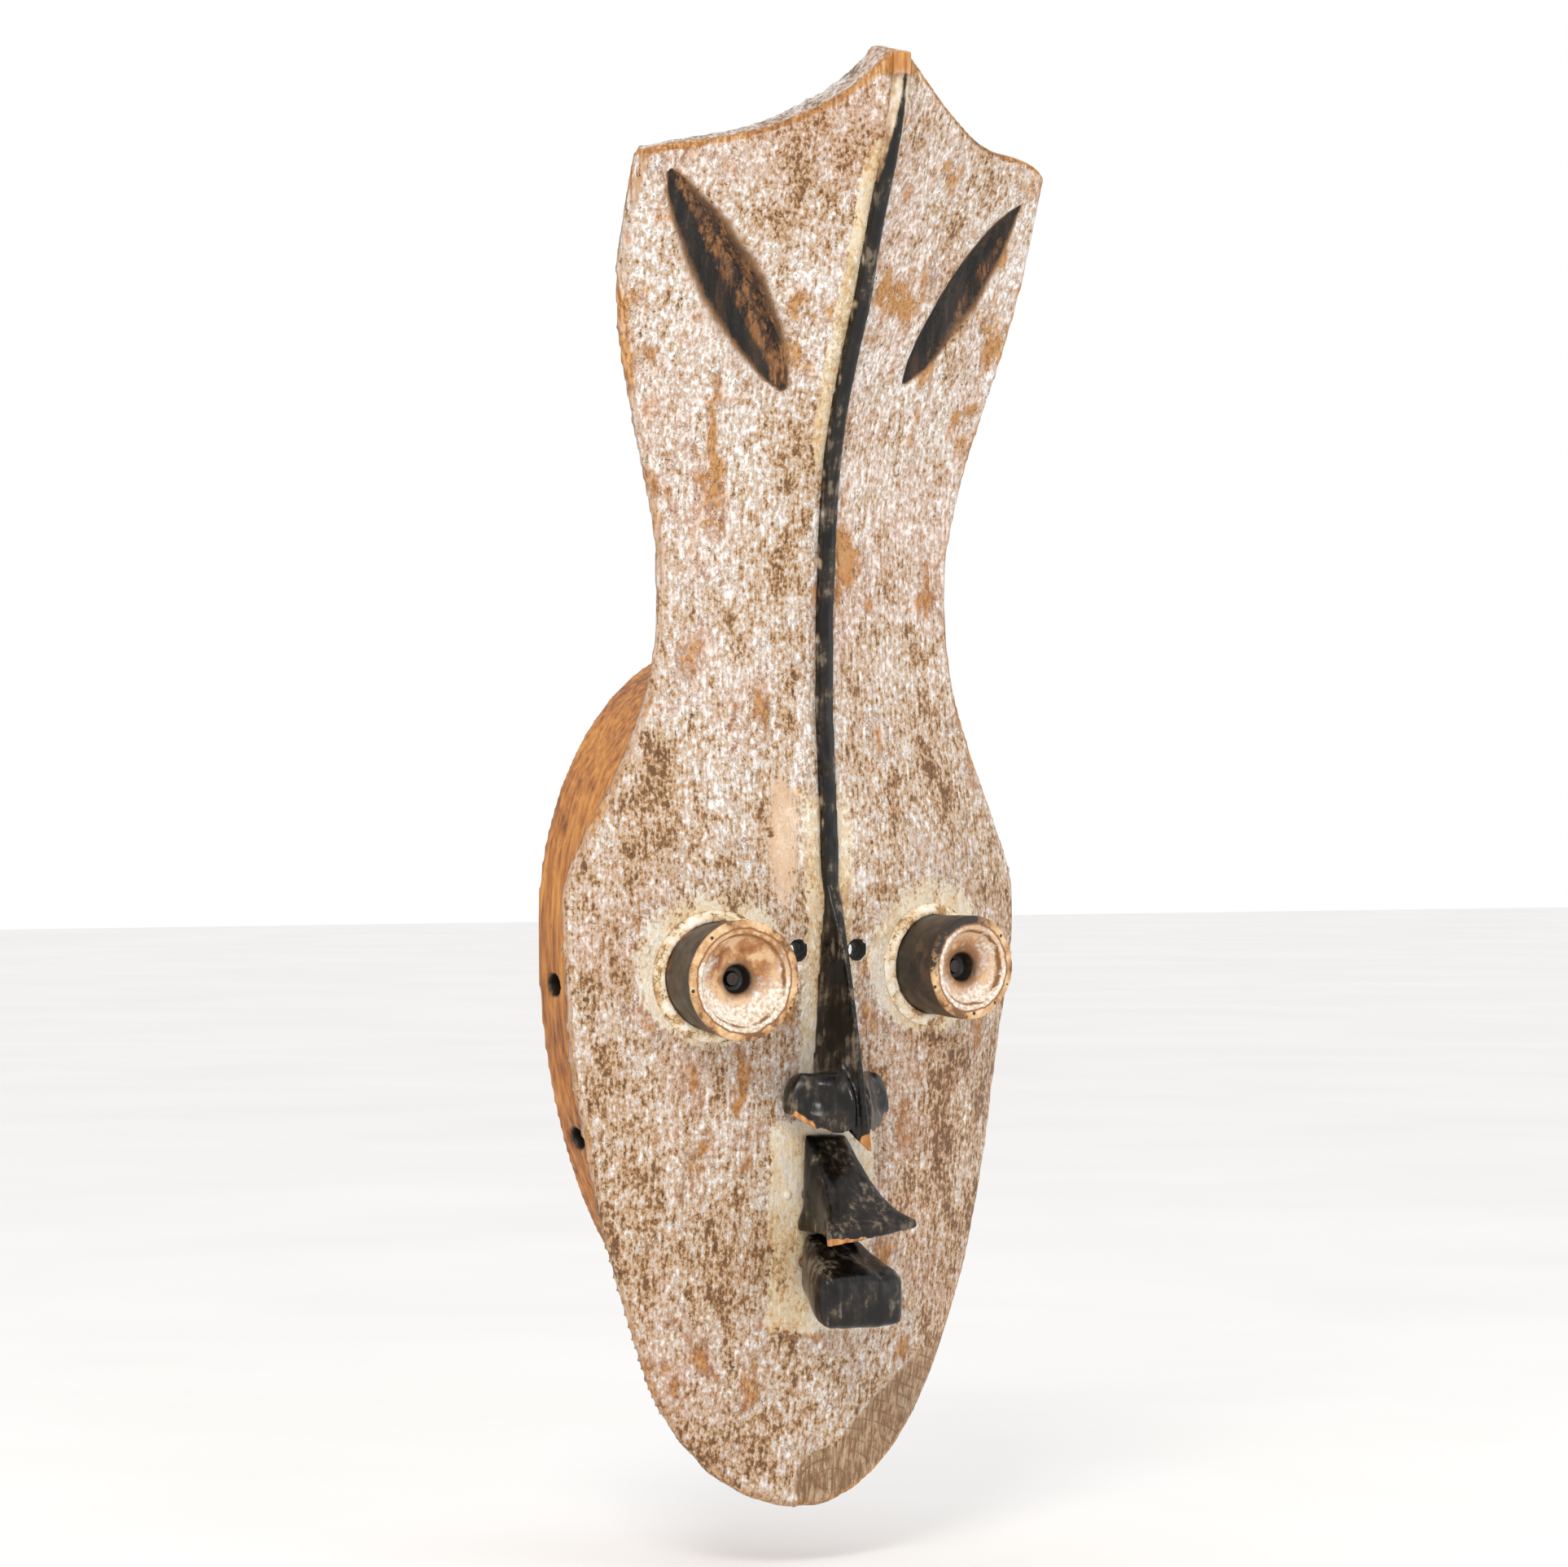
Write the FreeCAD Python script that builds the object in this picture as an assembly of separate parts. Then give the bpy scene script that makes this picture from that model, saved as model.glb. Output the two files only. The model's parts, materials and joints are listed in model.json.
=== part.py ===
import FreeCAD, Part
import math
import os

from FreeCAD import Vector

# A tall board mask: a peaked board with a projecting face, worn on a wooden collar.
# Units are millimetres. +X is the viewer's right, +Z is up and the mask looks along -Y.
# Heights are modelled above the chin and depths in front of the wall. The last function
# moves every piece down, so that the origin is the point of the wall behind the hanger.

os.makedirs("parts", exist_ok=True)

# ---- Driving dimensions: the board ----
BOARD_HEIGHT = 710.0
CHEEK_HALF_WIDTH = 131.5
FACE_DEPTH = 67.0            # front of the board's edge at the face, in front of the wall
CREST_TILT = 0.24            # rise of the crest's top edge per millimetre towards the back
CREST_WING_SLOPE = 0.30      # how fast the two wings fall back from the middle of the crest
PEAK_FLAT = 4.0              # half the width of the flat on the peak

# ---- Driving dimensions: the carved slashes and the sight holes ----
SLASH_BELOW_CREST = 10.0     # top of the left slash below the crest's left corner
SLASH_EDGE_INSET = 13.0      # top of each slash in from the board's edge
SLASH_HALF_DEPTH_ROUND = 14.0
SLASH_DEPTH = 6.0
LEFT_SLASH_RUN = (75.0, 102.0)
LEFT_SLASH_HALF_LENGTH = 97.0
RIGHT_SLASH_RUN = (60.0, 89.0)
RIGHT_SLASH_HALF_LENGTH = 84.0
RIGHT_SLASH_DROP = 7.0       # the right slash starts this much lower
SIGHT_HOLE_RADIUS = 4.3
SIGHT_HOLE_SPREAD = 17.0
SIGHT_HOLE_ABOVE_EYE = 11.0

# ---- Driving dimensions: the ridge, nose and lips ----
RIDGE_WIDTH = 7.6
RIDGE_PROUD = 4.0
RIDGE_GROOVE_DEPTH = 3.0
RIDGE_FOOT_HEIGHT = 306.0    # where the strip ends and the nose begins
NOSE_BASE_HALF_WIDTH = 9.0   # at the foot of the blade, inside the board's face
NOSE_FOOT_DEPTH = 12.0       # how far the blade's foot lies behind the board's face
NOSE_TIP_HEIGHT = 176.0
NOSE_TIP_DEPTH = 136.5
NOSE_UNDERSIDE_SLOPE = 0.55
NOSE_EDGE_HALF_WIDTH = 1.2
NOSTRIL_CENTRE = (9.5, 107.0, 195.0)   # out from the middle, in front of the wall, height
NOSTRIL_RADIUS = 19.4
LIP_LINE_HEIGHT = 136.0      # underside of the upper lip's ledge
LIP_LEDGE_HALF_WIDTH = 27.3
LIP_LEDGE_DEPTH = 138.5
LIP_LEDGE_TILT = 4.0         # how much lower the ledge is on the left, and higher on the right
LIP_LEDGE_THICKNESS = 5.5
UPPER_LIP_HEIGHT = 57.0      # where the upper lip leaves the board
UPPER_LIP_ROOT = 18.0        # root of the upper lip in front of the face's edge
LIP_GAP = 3.0
LOWER_LIP_HALF_WIDTH = 25.0
LOWER_LIP_DEPTH = 133.0
LOWER_LIP_HEIGHT = 27.0
LOWER_LIP_TOP_FALL = 16.0    # how far its top slopes down out of the mouth
LOWER_LIP_ROOT = 14.0

# ---- Driving dimensions: the eyes ----
EYE_SPREAD = 66.0
EYE_FRONT_DEPTH = 127.0
EYE_SPLAY = 5.7              # degrees, outwards
EYE_DROOP = 2.0              # degrees, downwards
LEFT_EYE_HEIGHT = 260.0
LEFT_EYE_FRONT_RADIUS = 29.4
LEFT_EYE_BASE_RADIUS = 25.3
RIGHT_EYE_HEIGHT = 264.0
RIGHT_EYE_FRONT_RADIUS = 25.6
RIGHT_EYE_BASE_RADIUS = 23.8
EYE_FLARE_LENGTH = 38.0
EYE_ROOT = 12.0              # spare length behind the flare, cut away to the board's face
EYE_RIM = 6.8
EYE_DISH_DEPTH = 8.0
PUPIL_RADIUS = 7.2
PUPIL_DEPTH = 7.0
PASTE_WIDTH = 6.0
PASTE_HEIGHT = 3.0

# ---- Driving dimensions: the collar ----
COLLAR_CENTRE_HEIGHT = 283.0
COLLAR_HALF_WIDTH = 106.0
COLLAR_RISE = 142.0          # widest point to the top
COLLAR_DROP = 204.0          # widest point to the bottom
COLLAR_WALL = 14.0
COLLAR_TOP_WALL = 28.0
COLLAR_JOINTS = (140.0, 300.0)   # heights where the bottom and top arches meet the sides
LACE_HOLE_RADIUS = 5.4
LACE_HOLE_INSET = 14.0       # from the wall plane to the hole's middle
LACE_HOLE_HEIGHTS = (256.0, 182.0)

# ---- Driving dimensions: pegs ----
PEG_CLEARANCE = 0.05
PEG_END_GAP = 0.5
RIDGE_PEG_RADIUS = 2.0
RIDGE_PEG_IN_STRIP = 4.0
RIDGE_PEG_IN_BOARD = 5.0
RIDGE_PEG_SPACING = 105.0
RIDGE_PEG_COUNT = 4
NOSE_PEG_RADIUS = 2.2
NOSE_PEG_IN_NOSE = 8.0
LIP_PEG_RADIUS = 3.0
LIP_PEG_SPREAD = 8.0
LIP_PEG_IN_LIP = 14.0
UPPER_LIP_PEG_RISE = 18.0    # above the underside of the upper lip
LOWER_LIP_PEG_DROP = 12.0    # below the top of the lower lip
EYE_PEG_RADIUS = 3.0
EYE_PEG_PROUD = 1.5          # how far the peg stands above the pupil's floor
COLLAR_PEG_RADIUS = 3.5
COLLAR_PEG_IN_COLLAR = 18.0
COLLAR_PEG_COUNT = 8
PEG_IN_BOARD = 4.5           # how far the nose, lip, eye and collar pegs enter the board
GLUE_LINE = 0.1              # gap between a piece and the curved face it is glued to

# ---- Driving dimensions: the hanger ----
HANGER_BELOW_TOP = 5.0       # ring's axis below the top of the collar
MORTISE_HALF_WIDTH = 12.0
MORTISE_DEPTH = 6.5
STRAP_HALF_WIDTH = 6.0
STRAP_LENGTH = 18.5
STRAP_THICKNESS = 1.2
STRAP_END_GAP = 1.0
LOOP_RADIUS = 2.6
RING_WIRE_RADIUS = 1.2
RING_PIVOT_CLEARANCE = 0.06
RING_HALF_WIDTH = 9.0
RING_LEG = 4.0
RING_LIFT = 2.8              # ring's axis above the floor of the mortise
SCREW_RADIUS = 1.3
SCREW_HEAD_RADIUS = 2.3
SCREW_LENGTH = 13.0
SCREW_DROPS = (6.6, 15.2)    # below the ring's axis

COLLAR_TOP_HEIGHT = COLLAR_CENTRE_HEIGHT + COLLAR_RISE
ORIGIN_HEIGHT = COLLAR_TOP_HEIGHT - HANGER_BELOW_TOP

# ---- The board's shape ----
# Each station of the board, from the chin to above the peak: height as a share of the
# board's height, half width as a share of the cheeks', depth of the edge and of the middle
# in front of the face's edge, how round the section is (1 is a straight-sided ridge, more
# is a dome), and the thickness at the edge and in the middle.
STATIONS = (
    (-0.02, 0.30, 9.0, 11.0, 2.2, 6.5, 9.0),
    (0.05, 0.50, 3.0, 14.0, 2.2, 6.0, 11.0),
    (0.14, 0.73, 2.0, 22.0, 2.4, 6.0, 13.5),
    (0.25, 0.886, 0.0, 27.5, 2.6, 6.0, 14.0),
    (0.37, 0.985, 1.0, 31.5, 3.2, 6.0, 14.0),
    (0.45, 0.96, 3.0, 32.0, 2.4, 6.0, 14.0),
    (0.53, 0.745, 10.0, 28.5, 1.5, 6.5, 14.0),
    (0.61, 0.635, 12.0, 28.0, 1.2, 6.5, 14.0),
    (0.68, 0.66, 13.0, 31.5, 1.05, 6.5, 14.5),
    (0.74, 0.753, 16.0, 38.5, 1.0, 6.5, 15.5),
    (0.80, 0.83, 23.0, 54.0, 1.0, 7.5, 17.0),
    (0.86, 0.89, 34.0, 69.0, 1.0, 9.5, 18.5),
    (0.92, 0.88, 50.0, 84.5, 1.0, 12.0, 20.0),
    (0.985, 0.875, 66.0, 96.0, 1.0, 14.0, 21.5),
    (1.05, 0.875, 79.0, 105.0, 1.0, 15.0, 22.5),
)
SECTION_SHARES = (0.0, 0.3, 0.65, 1.0, 1.1)

# Half outline from the chin to the cheek, then from the cheek past the waist to the crest:
# shares of the cheeks' half width and of the board's height.
JAW = ((0.0, 0.0), (0.335, 0.0205), (0.50, 0.0485), (0.663, 0.104), (0.813, 0.189),
       (0.935, 0.301), (0.997, 0.405))
CHEEK_BEND = (1.0, 0.420)
NECK = ((0.975, 0.441), (0.818, 0.4985), (0.690, 0.555), (0.634, 0.617), (0.665, 0.683),
        (0.774, 0.752), (0.866, 0.8225), (0.891, 0.868), (0.878, 0.925))
CREST_LEFT = ((-0.93, 0.917), (-0.68, 0.9245), (-0.423, 0.9377), (-0.19, 0.9625))
CREST_RIGHT = ((0.24, 0.9612), (0.42, 0.9408), (0.593, 0.9290), (0.74, 0.9268),
               (0.86, 0.919), (0.94, 0.905))
PEAK_SHARE = 0.9915


def height(share):
    return share * BOARD_HEIGHT


def width(share):
    return share * CHEEK_HALF_WIDTH


def curve(points):
    spline = Part.BSplineCurve()
    spline.interpolate(points)
    return spline.toShape()


def line(start, end):
    return Part.LineSegment(start, end).toShape()


def box(x_range, depth_range, z_range):
    corner = Vector(x_range[0], -depth_range[1], z_range[0])
    return Part.makeBox(x_range[1] - x_range[0], depth_range[1] - depth_range[0],
                        z_range[1] - z_range[0], corner)


def station_at(z):
    """The board's station at a height, by proportion between the two nearest."""
    share = z / BOARD_HEIGHT
    for low, high in zip(STATIONS, STATIONS[1:]):
        if share <= high[0]:
            break
    t = (share - low[0]) / (high[0] - low[0])
    return [a + t * (b - a) for a, b in zip(low, high)]


def station_depth(station, x):
    """Depth of the board's front face at x, for one station."""
    half = width(station[1])
    edge, middle, roundness = station[2:5]
    return FACE_DEPTH + middle - (middle - edge) * (abs(x) / half) ** roundness


def station_thickness(station, x):
    edge, middle = station[5:7]
    return middle - (middle - edge) * abs(x) / width(station[1])


def front_depth(x, z):
    return station_depth(station_at(z), x)


def section(station, raised, skin):
    """One closed section of the board: the front raised, and its own back or a skin."""
    z = height(station[0])
    front = []
    back = []
    for side in (-1, 1):
        front_side = []
        back_side = []
        for share in SECTION_SHARES:
            x = side * share * width(station[1])
            depth = station_depth(station, x)
            behind = depth - station_thickness(station, x)
            if skin is not None:
                behind = depth + raised - skin
            front_side.append(Vector(x, -(depth + raised), z))
            back_side.append(Vector(x, -behind, z))
        front.append(front_side)
        back.append(back_side)
    edges = [curve(front[0][::-1]), curve(front[1]), line(front[1][-1], back[1][-1]),
             curve(back[1][::-1]), curve(back[0]), line(back[0][-1], front[0][-1])]
    return Part.Wire(edges)


def slab(raised=0.0, skin=None):
    """The board before its outline is cut, or a layer that follows its front face."""
    return Part.makeLoft([section(station, raised, skin) for station in STATIONS], True)


def front_view(points):
    return [Vector(width(x), 0, height(z)) for x, z in points]


def mirrored(points):
    return [Vector(-p.x, p.y, p.z) for p in points]


def outline_prism():
    """Jaw, cheeks, waist and the crest's sides, straight through from front to back."""
    jaw = front_view(JAW)
    neck = front_view(NECK)
    bend = Vector(width(CHEEK_BEND[0]), 0, height(CHEEK_BEND[1]))
    top = Vector(neck[-1].x, 0, height(STATIONS[-1][0]))
    edges = []
    for flip in (list, mirrored):
        jaw_side = flip(jaw)
        neck_side = flip(neck)
        top_side = flip([top])[0]
        edges.append(curve(jaw_side))
        edges.append(Part.Arc(jaw_side[-1], flip([bend])[0], neck_side[0]).toShape())
        edges.append(curve(neck_side))
        edges.append(line(neck_side[-1], top_side))
    edges.append(line(top, mirrored([top])[0]))
    face = Part.Face(Part.Wire(Part.__sortEdges__(edges)))
    return face.extrude(Vector(0, -2 * FACE_DEPTH - height(0.1), 0))


def crest_cut():
    """What is cut away above the crest: two hollow curves that meet at the peak."""
    def lowered(point):
        drop = CREST_TILT * CREST_WING_SLOPE * abs(point.x)
        return Vector(point.x, point.y, point.z - drop)

    peak = height(PEAK_SHARE)
    left = [lowered(p) for p in front_view(CREST_LEFT)] + [Vector(-PEAK_FLAT, 0, peak)]
    right = [Vector(PEAK_FLAT, 0, peak)] + [lowered(p) for p in front_view(CREST_RIGHT)]
    sky = height(1.2)
    corners = [right[-1], Vector(right[-1].x, 0, sky), Vector(left[0].x, 0, sky), left[0]]
    edges = [curve(left), line(left[-1], right[0]), curve(right)]
    edges += [line(a, b) for a, b in zip(corners, corners[1:])]
    face = Part.Face(Part.Wire(Part.__sortEdges__(edges)))
    peak_depth = front_depth(0, peak)
    reach = FACE_DEPTH
    face.translate(Vector(0, -peak_depth - reach, -CREST_TILT * reach))
    return face.extrude(Vector(0, 3 * reach, 3 * reach * CREST_TILT))


def slash_cut(side, run, half_length, drop):
    """A pointed groove: an arc turned about its chord, sunk into the board's face."""
    corner_z = height(CREST_LEFT[0][1])
    top_x = side * (width(NECK[-1][0]) - SLASH_EDGE_INSET)
    top_z = corner_z - SLASH_BELOW_CREST - drop
    foot_x = top_x - side * run[0]
    foot_z = top_z - run[1]
    lift = SLASH_HALF_DEPTH_ROUND - SLASH_DEPTH
    top = Vector(top_x, -front_depth(top_x, top_z) - lift, top_z)
    foot = Vector(foot_x, -front_depth(foot_x, foot_z) - lift, foot_z)
    axis = (top - foot).normalize()
    middle = (top + foot) * 0.5
    arc = Part.Arc(Vector(0, 0, -half_length), Vector(SLASH_HALF_DEPTH_ROUND, 0, 0),
                   Vector(0, 0, half_length)).toShape()
    chord = line(Vector(0, 0, half_length), Vector(0, 0, -half_length))
    spindle = Part.Face(Part.Wire([arc, chord])).revolve(Vector(0, 0, 0), Vector(0, 0, 1), 360)
    spindle.Placement = FreeCAD.Placement(middle, FreeCAD.Rotation(Vector(0, 0, 1), axis))
    return spindle


def sight_hole_cuts():
    z = 0.5 * (LEFT_EYE_HEIGHT + RIGHT_EYE_HEIGHT) + SIGHT_HOLE_ABOVE_EYE
    cuts = []
    for side in (-1, 1):
        start = Vector(side * SIGHT_HOLE_SPREAD, 0, z)
        length = front_depth(start.x, z) + SIGHT_HOLE_RADIUS
        cuts.append(Part.makeCylinder(SIGHT_HOLE_RADIUS, length, start, Vector(0, -1, 0)))
    return cuts


# ---- Pegs ----
def peg_axis(x, z):
    """A peg that runs straight back through the board's front face at x and z."""
    return Vector(x, -front_depth(x, z), z)


def straight_peg(radius, face_point, in_front, behind):
    start = face_point + Vector(0, -in_front, 0)
    return Part.makeCylinder(radius, in_front + behind, start, Vector(0, 1, 0))


def straight_peg_hole(radius, face_point, in_front, behind):
    return straight_peg(radius + PEG_CLEARANCE, face_point, in_front + PEG_END_GAP,
                        behind + PEG_END_GAP)


def ridge_peg_heights():
    first = RIDGE_FOOT_HEIGHT + RIDGE_PEG_SPACING / 3
    return [first + i * RIDGE_PEG_SPACING for i in range(RIDGE_PEG_COUNT)]


def ridge_peg_points():
    return [peg_axis(0, z) + Vector(0, RIDGE_GROOVE_DEPTH, 0) for z in ridge_peg_heights()]


def nose_peg_points():
    span = RIDGE_FOOT_HEIGHT - NOSE_TIP_HEIGHT
    return [peg_axis(0, NOSE_TIP_HEIGHT + share * span) for share in (0.42, 0.68)]


def lip_peg_points():
    upper = LIP_LINE_HEIGHT + UPPER_LIP_PEG_RISE
    lower = LIP_LINE_HEIGHT - LIP_GAP - LOWER_LIP_PEG_DROP
    return [peg_axis(side * LIP_PEG_SPREAD, z) for z in (upper, lower) for side in (-1, 1)]


def collar_wall_point(turn):
    """Middle of the collar's wall at an angle from the widest point, in front view."""
    rise = COLLAR_RISE - COLLAR_TOP_WALL / 2
    drop = COLLAR_DROP - COLLAR_WALL / 2
    reach = rise if math.sin(turn) > 0 else drop
    x = (COLLAR_HALF_WIDTH - COLLAR_WALL / 2) * math.cos(turn)
    return x, COLLAR_CENTRE_HEIGHT + reach * math.sin(turn)


def collar_peg_points():
    points = []
    for i in range(COLLAR_PEG_COUNT):
        x, z = collar_wall_point(math.radians(360.0 * (i + 0.5) / COLLAR_PEG_COUNT))
        station = station_at(z)
        back = station_depth(station, x) - station_thickness(station, x)
        points.append(Vector(x, -back, z))
    return points


RIDGE_PEG = (RIDGE_PEG_RADIUS, RIDGE_PEG_IN_STRIP, RIDGE_PEG_IN_BOARD)
NOSE_PEG = (NOSE_PEG_RADIUS, NOSE_PEG_IN_NOSE, PEG_IN_BOARD)
LIP_PEG = (LIP_PEG_RADIUS, LIP_PEG_IN_LIP, PEG_IN_BOARD)
COLLAR_PEG = (COLLAR_PEG_RADIUS, PEG_IN_BOARD, COLLAR_PEG_IN_COLLAR)


def pegs(size, points):
    radius, in_front, behind = size
    return [straight_peg(radius, point, in_front, behind) for point in points]


def peg_holes(size, points):
    radius, in_front, behind = size
    return [straight_peg_hole(radius, point, in_front, behind) for point in points]


# ---- Eyes ----
def eye_placement(side, eye_height):
    """Axis of an eye: its own +Z runs from the board to the middle of the rim."""
    splay = math.radians(EYE_SPLAY)
    droop = math.radians(EYE_DROOP)
    aim = Vector(side * math.sin(splay), -math.cos(splay), -math.tan(droop))
    rim = Vector(side * EYE_SPREAD, -EYE_FRONT_DEPTH, eye_height)
    return FreeCAD.Placement(rim, FreeCAD.Rotation(Vector(0, 0, 1), aim))


def turned(points, placement):
    """A solid turned about its own Z from half-profile points (radius, height)."""
    outline = [Vector(r, 0, z) for r, z in points]
    face = Part.Face(Part.makePolygon(outline + outline[:1]))
    solid = face.revolve(Vector(0, 0, 0), Vector(0, 0, 1), 360)
    solid.Placement = placement
    return solid


def eye_floor(side, eye_height):
    """How far the board's face lies behind the eye's rim, along the eye."""
    x = side * (EYE_SPREAD - EYE_FLARE_LENGTH * math.sin(math.radians(EYE_SPLAY)))
    return EYE_FRONT_DEPTH - front_depth(x, eye_height)


def eye_tube(side, eye_height, front_radius, base_radius, behind_face):
    taper = (front_radius - base_radius) / EYE_FLARE_LENGTH
    root = -(EYE_FLARE_LENGTH + EYE_ROOT)
    dish = front_radius - EYE_RIM
    points = [(front_radius, 0), (dish, 0), (0.93 * dish, -0.45 * EYE_DISH_DEPTH),
              (0.62 * dish, -0.85 * EYE_DISH_DEPTH), (PUPIL_RADIUS, -EYE_DISH_DEPTH),
              (0.85 * PUPIL_RADIUS, -EYE_DISH_DEPTH - PUPIL_DEPTH),
              (EYE_PEG_RADIUS + PEG_CLEARANCE, -EYE_DISH_DEPTH - PUPIL_DEPTH),
              (EYE_PEG_RADIUS + PEG_CLEARANCE, root), (front_radius + taper * root, root)]
    return turned(points, eye_placement(side, eye_height)).cut(behind_face)


def eye_peg(side, eye_height, clearance, end_gap):
    top = -EYE_DISH_DEPTH - PUPIL_DEPTH + EYE_PEG_PROUD
    length = eye_floor(side, eye_height) + top + PEG_IN_BOARD + end_gap
    peg = Part.makeCylinder(EYE_PEG_RADIUS + clearance, length, Vector(0, 0, top),
                            Vector(0, 0, -1))
    peg.Placement = eye_placement(side, eye_height)
    return peg


def eye_paste(side, eye_height, front_radius, base_radius, layer):
    """The collar of paste that fills the corner between an eye and the board."""
    taper = (front_radius - base_radius) / EYE_FLARE_LENGTH
    top = -0.5 * EYE_FLARE_LENGTH
    root = -(EYE_FLARE_LENGTH + EYE_ROOT)
    inner = [front_radius + GLUE_LINE + taper * z for z in (top, root)]
    outer = [radius + PASTE_WIDTH for radius in inner]
    ring = turned([(inner[0], top), (outer[0], top), (outer[1], root), (inner[1], root)],
                  eye_placement(side, eye_height))
    return ring.common(layer)


# ---- Ridge, nose and lips ----
def ridge_strip_span(extra):
    half = RIDGE_WIDTH / 2 + extra
    deep = 3 * FACE_DEPTH
    return box((-half, half), (0, deep), (RIDGE_FOOT_HEIGHT - extra, height(1.04)))


def crest_ridge(above_crest):
    strip = slab(RIDGE_PROUD, RIDGE_PROUD + RIDGE_GROOVE_DEPTH).common(ridge_strip_span(0))
    return strip.cut(above_crest)


def ridge_groove():
    lift = 3 * RIDGE_PROUD
    span = ridge_strip_span(PEG_CLEARANCE)
    return slab(lift, lift + RIDGE_GROOVE_DEPTH + GLUE_LINE).common(span)


def nose_section(z, depth, floor_depth):
    """A blade: a narrow front edge and a base on the board."""
    points = [Vector(-NOSE_BASE_HALF_WIDTH, -floor_depth, z),
              Vector(-NOSE_EDGE_HALF_WIDTH, -depth, z),
              Vector(NOSE_EDGE_HALF_WIDTH, -depth, z),
              Vector(NOSE_BASE_HALF_WIDTH, -floor_depth, z)]
    return Part.makePolygon(points + points[:1])


def nose_blade():
    """The nose's long blade, whose edge swells forward from the ridge to the tip."""
    top_depth = front_depth(0, RIDGE_FOOT_HEIGHT) + RIDGE_PROUD
    span = RIDGE_FOOT_HEIGHT - NOSE_TIP_HEIGHT
    reach = NOSE_TIP_DEPTH - top_depth
    sections = []
    for drop, out in ((0.0, 0.0), (0.35, 0.46), (0.65, 0.73), (1.0, 1.0)):
        z = RIDGE_FOOT_HEIGHT - drop * span
        floor_depth = front_depth(0, z) - NOSE_FOOT_DEPTH
        sections.append(nose_section(z, top_depth + out * reach, floor_depth))
    return Part.makeLoft(sections, True)


def nostril(side):
    out, depth, z = NOSTRIL_CENTRE
    return Part.makeSphere(NOSTRIL_RADIUS, Vector(side * out, -depth, z))


def nose_underside():
    """What is cut away under the nose: everything below a plane that rises to the board."""
    reach = NOSE_TIP_DEPTH - FACE_DEPTH
    rise = NOSE_UNDERSIDE_SLOPE * reach
    low = NOSE_TIP_HEIGHT - 3 * NOSTRIL_RADIUS
    margin = 10.0
    points = [Vector(0, -NOSE_TIP_DEPTH - margin, NOSE_TIP_HEIGHT - margin * NOSE_UNDERSIDE_SLOPE),
              Vector(0, -FACE_DEPTH, NOSE_TIP_HEIGHT + rise),
              Vector(0, -FACE_DEPTH, low),
              Vector(0, -NOSE_TIP_DEPTH - margin, low)]
    face = Part.Face(Part.makePolygon(points + points[:1]))
    half = 3 * NOSTRIL_RADIUS
    face.translate(Vector(-half, 0, 0))
    return face.extrude(Vector(2 * half, 0, 0))


def nose(behind_face):
    body = nose_blade().fuse([nostril(-1), nostril(1)])
    return body.cut([nose_underside(), behind_face]).removeSplitter()


def lip_section(depth, half_width, low, high, tilt=0.0):
    points = [Vector(-half_width, -depth, low - tilt), Vector(half_width, -depth, low + tilt),
              Vector(half_width, -depth, high + tilt), Vector(-half_width, -depth, high - tilt)]
    return Part.makePolygon(points + points[:1])


def upper_lip(behind_face):
    """A block under the nose that flares into a thin, wide ledge."""
    line_z = LIP_LINE_HEIGHT
    root = FACE_DEPTH + UPPER_LIP_ROOT
    reach = LIP_LEDGE_DEPTH - root
    half = LIP_LEDGE_HALF_WIDTH
    tilt = LIP_LEDGE_TILT
    tall = UPPER_LIP_HEIGHT
    edge = line_z - 1.0
    sections = [lip_section(root, 0.62 * half, line_z, line_z + tall),
                lip_section(root + 0.45 * reach, 0.53 * half, line_z, line_z + 0.63 * tall),
                lip_section(root + 0.70 * reach, 0.65 * half, line_z, line_z + 0.35 * tall,
                            tilt / 3),
                lip_section(LIP_LEDGE_DEPTH, half, edge, edge + LIP_LEDGE_THICKNESS, tilt)]
    return Part.makeLoft(sections, True).cut(behind_face)


def lower_lip(behind_face):
    """A square-ended block under the ledge, with a top that slopes out of the mouth."""
    top = LIP_LINE_HEIGHT - LIP_GAP
    root = FACE_DEPTH + LOWER_LIP_ROOT
    reach = LOWER_LIP_DEPTH - root
    half = LOWER_LIP_HALF_WIDTH
    tall = LOWER_LIP_HEIGHT
    fall = LOWER_LIP_TOP_FALL
    foot = top - fall - tall
    sections = [lip_section(root, 0.52 * half, foot + 0.60 * tall, top),
                lip_section(root + 0.5 * reach, 0.72 * half, foot + 0.32 * tall,
                            top - 0.19 * fall),
                lip_section(root + 0.82 * reach, 0.96 * half, foot + 0.05 * tall,
                            top - 0.75 * fall),
                lip_section(LOWER_LIP_DEPTH, half, foot, top - fall)]
    return Part.makeLoft(sections, True).cut(behind_face)


# ---- Collar ----
def half_oval(half_width, reach, up):
    centre = Vector(0, 0, COLLAR_CENTRE_HEIGHT)
    tip = centre + Vector(0, 0, reach if up else -reach)
    side = centre + Vector(half_width, 0, 0)
    oval = Part.Ellipse(tip, side, centre)
    return Part.ArcOfEllipse(oval, -math.pi / 2, math.pi / 2).toShape()


def oval_prism(half_width, rise, drop, depth):
    edges = [half_oval(half_width, rise, True), half_oval(half_width, drop, False)]
    face = Part.Face(Part.Wire(Part.__sortEdges__(edges)))
    return face.extrude(Vector(0, -depth, 0))


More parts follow.
